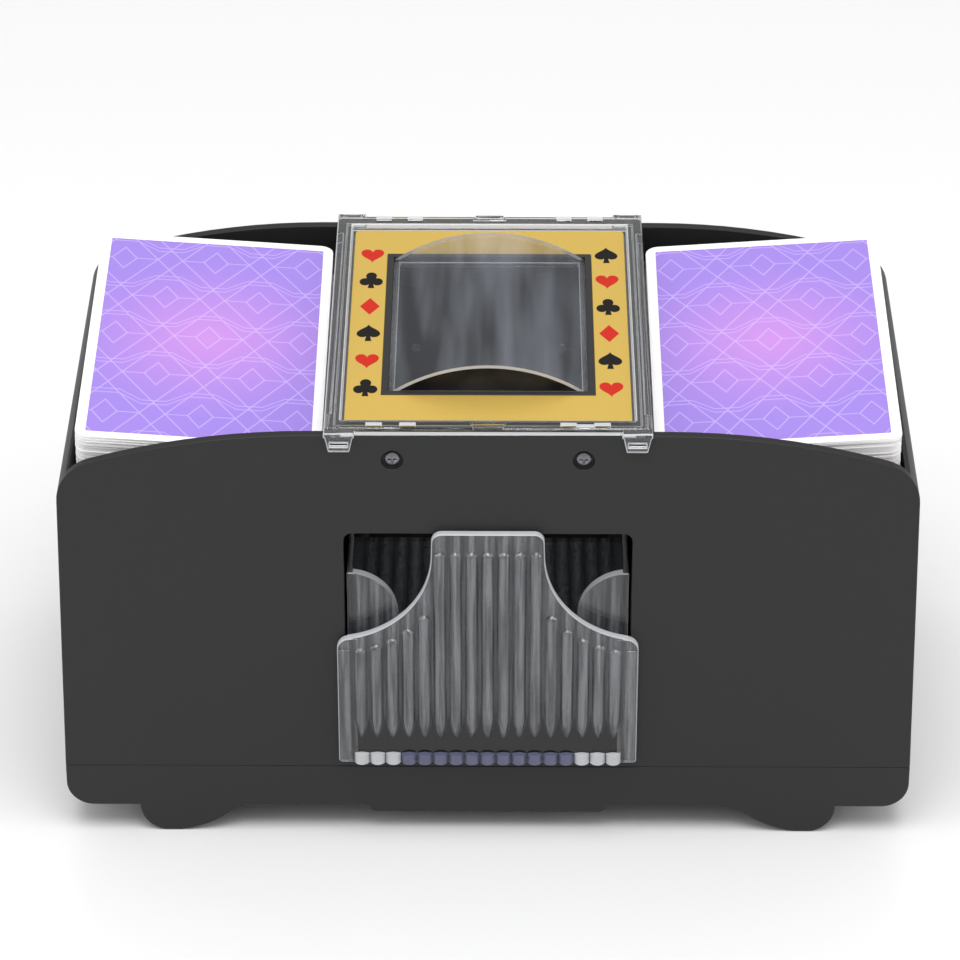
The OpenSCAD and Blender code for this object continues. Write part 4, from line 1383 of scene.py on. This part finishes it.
    def plate(self) -> Shape:
        """Makes the front plate, whose handle flares out into two shoulders.

        Returns:
            The plate.
        """
        top = self.flare_centre[1] - self.flare_r
        half, r = self.plate_half, self.shoulder_r
        corner = (half - self.plate_corner, self.plate_bottom + self.plate_corner)
        crown = (self.handle_half - self.handle_r, self.handle_top - self.handle_r)
        right = [
            *arc(corner, self.plate_corner, -90, 0, 4),
            *arc((half - r, top - r + 0.1), r, 0, 88, 8),
            *arc(self.flare_centre, self.flare_r, -98, -180, 28),
            *arc(crown, self.handle_r, 0, 90, 8),
        ]
        left = [(-x, z) for x, z in reversed(right)]
        return panel_shape([*right, *left], self.plate_y[0], self.plate_y[1], self.edge_mm)

    def rib_top(self, index: int) -> float:
        """Finds where a rib ends.

        Args:
            index: Number of the rib, 0 in the middle.

        Returns:
            The height of the centre of its domed top.
        """
        if abs(index) <= self.long_ribs_a_side:
            return self.handle_top - self.long_rib_gap
        away = self.flare_centre[0] - abs(index) * self.rib_pitch
        return self.flare_centre[1] - math.sqrt((self.flare_r + self.rib_margin) ** 2 - away**2)

    def rod(self, profile: Sequence[Pair], index: int) -> Shape:
        """Spins a profile into an upright rod that stands proud of the plate.

        Args:
            profile: Radius and height in millimetres, from the lower end to the upper one.
            index: Number of the rib, 0 in the middle.

        Returns:
            The rod.
        """
        shape = bmesh.new()
        verts = [shape.verts.new((r * MM, 0, z * MM)) for r, z in profile]
        edges = [shape.edges.new(pair) for pair in zip(verts, verts[1:])]
        bmesh.ops.spin(
            shape,
            geom=[*verts, *edges],
            axis=(0, 0, 1),
            cent=(0, 0, 0),
            steps=28,
            angle=2 * math.pi,
            use_merge=True,
        )
        bmesh.ops.remove_doubles(shape, verts=shape.verts, dist=0.001 * MM)
        y = self.plate_y[0] - self.rib_proud + max(r for r, _ in profile)
        bmesh.ops.translate(shape, vec=(index * self.rib_pitch * MM, y * MM, 0), verts=shape.verts)
        bmesh.ops.recalc_face_normals(shape, faces=shape.faces)
        return shape

    def rib(self, index: int) -> Shape:
        """Makes one rib: domed at the top and drawn to a point above the foot.

        Args:
            index: Number of the rib, 0 in the middle.

        Returns:
            The rib.
        """
        top = self.rib_top(index)
        dome = arc((0.0, top), self.rib_r, 0, 90, 6)
        return self.rod([(0.0, self.rib_foot[0]), (self.rib_r, self.rib_foot[1]), *dome], index)

    def end_rib(self, side: Side) -> Shape:
        """Makes the flat rib at one side of the plate.

        Args:
            side: Side that it is on.

        Returns:
            The flat rib.
        """
        index = self.ribs_a_side + 1
        middle, front = side.value * index * self.rib_pitch, self.plate_y[0]
        half, proud, sunk = self.end_rib_size
        low = (middle - half, front - proud, self.plate_bottom + 1.0)
        high = (middle + half, front + sunk, self.rib_top(index) + self.rib_r)
        return box_shape(low, high, self.end_rib_edge)

    def knob(self, index: int) -> Shape:
        """Makes one short knob of the row along the foot of the plate, a painted highlight for the
        bright band that the foot bends light into.

        Args:
            index: Number of the rib that it stands under.

        Returns:
            The knob.
        """
        low, high = self.knob_z
        wide = self.rib_pitch / 2 - self.knob_gap
        profile = [(0.0, low), (wide, low), (wide, high), (0.0, high + self.knob_dome)]
        return self.rod(profile, index)


@dataclass
class Studio:
    """Pale floor, soft lights and the camera."""

    lens_mm: float = 162.4
    pitch_deg: float = 31.55
    turn_deg: float = 0.31
    distance_mm: float = 1000.0
    aim_x_mm: float = -1.84
    aim_z_mm: float = 100.0
    horizon: float = 0.5
    zenith: float = 0.95
    climb: Pair = (0.25, 0.85)
    light_aim: tuple[float, float, float] = (0.0, 0.0, 0.06)
    # Each softbox's place and side in metres, and its power in watts.
    softboxes: dict[str, tuple[tuple[float, float, float], float, float]] = field(
        default_factory=lambda: {
            "top_softbox": ((0.0, -0.4, 1.3), 0.9, 11.0),
            "left_softbox": ((-1.5, -0.5, 0.7), 0.7, 5.0),
            "right_softbox": ((1.5, -0.5, 0.7), 0.7, 5.0),
        }
    )

    def build(self) -> None:
        """Makes the floor, the lights and the camera."""
        self.add_floor()
        self.add_world()
        for name, (place, size, power) in self.softboxes.items():
            self.add_light(name, place, size, power)
        self.add_camera()

    def add_floor(self) -> None:
        """Lays a wide white floor under the feet."""
        shape = bmesh.new()
        bmesh.ops.create_grid(shape, x_segments=1, y_segments=1, size=8.0)
        floor = new_object("floor", mesh_of("floor", shape))
        finish = Moulded("acrylic_floor_white", "#e6e6e6", 0.3, mottle=0.0, grain_depth_mm=0.0)
        floor.data.materials.append(finish.material())

    def add_world(self) -> None:
        """Fills the room with white light that is brighter overhead than at the horizon."""
        world = bpy.data.worlds.new("studio")
        world.use_nodes = True
        tree = world.node_tree
        way = add_node(tree, "TexCoord").outputs["Generated"]
        height = add_node(tree, "SeparateXYZ", {0: way}).outputs[2]
        ends = {1: self.climb[0], 2: self.climb[1], 3: self.horizon, 4: self.zenith}
        strength = add_node(tree, "MapRange", {0: height, **ends})
        background = tree.nodes["Background"]
        background.inputs["Color"].default_value = (1.0, 1.0, 1.0, 1.0)
        tree.links.new(strength.outputs[0], background.inputs["Strength"])
        bpy.context.scene.world = world

    def add_light(self, name: str, place: Sequence[float], size: float, power: float) -> None:
        """Hangs a square softbox that faces the shuffler.

        Args:
            name: Name of the light.
            place: Where it hangs, in metres.
            size: Length of its sides.
            power: Its power in watts.
        """
        data = bpy.data.lights.new(name, "AREA")
        data.energy = power
        data.size = size
        light = new_object(name, data)
        light.location = place
        way = Vector(self.light_aim) - Vector(place)
        light.rotation_mode = "QUATERNION"
        light.rotation_quaternion = way.to_track_quat("-Z", "Y")

    def add_camera(self) -> None:
        """Sets a long lens that looks down on the front."""
        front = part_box("upper_housing")[0].y
        aim = Vector((self.aim_x_mm * MM, front, self.aim_z_mm * MM))
        pitch, turn = math.radians(self.pitch_deg), math.radians(self.turn_deg)
        level = Vector((math.sin(turn), -math.cos(turn), 0.0))
        back = level * math.cos(pitch) + Vector((0.0, 0.0, math.sin(pitch)))
        data = bpy.data.cameras.new("camera")
        data.lens = self.lens_mm
        data.sensor_width = 36.0
        data.clip_start = 0.05
        data.clip_end = 50.0
        camera = new_object("camera", data)
        camera.location = aim + back * self.distance_mm * MM
        camera.rotation_mode = "QUATERNION"
        camera.rotation_quaternion = (-back).to_track_quat("-Z", "Y")
        bpy.context.scene.camera = camera


def main() -> None:
    """Builds the shuffler's looks in order."""
    logging.basicConfig(level=logging.INFO, format="%(name)s: %(message)s")
    bpy.context.scene.view_settings.view_transform = "Standard"
    Studio().build()
    Mouldings().build()
    Tray().build()
    Cover().build()
    for side in Side:
        CardDeck(side).build()
    LOG.info("boxes written")


if __name__ == "__main__":
    main()
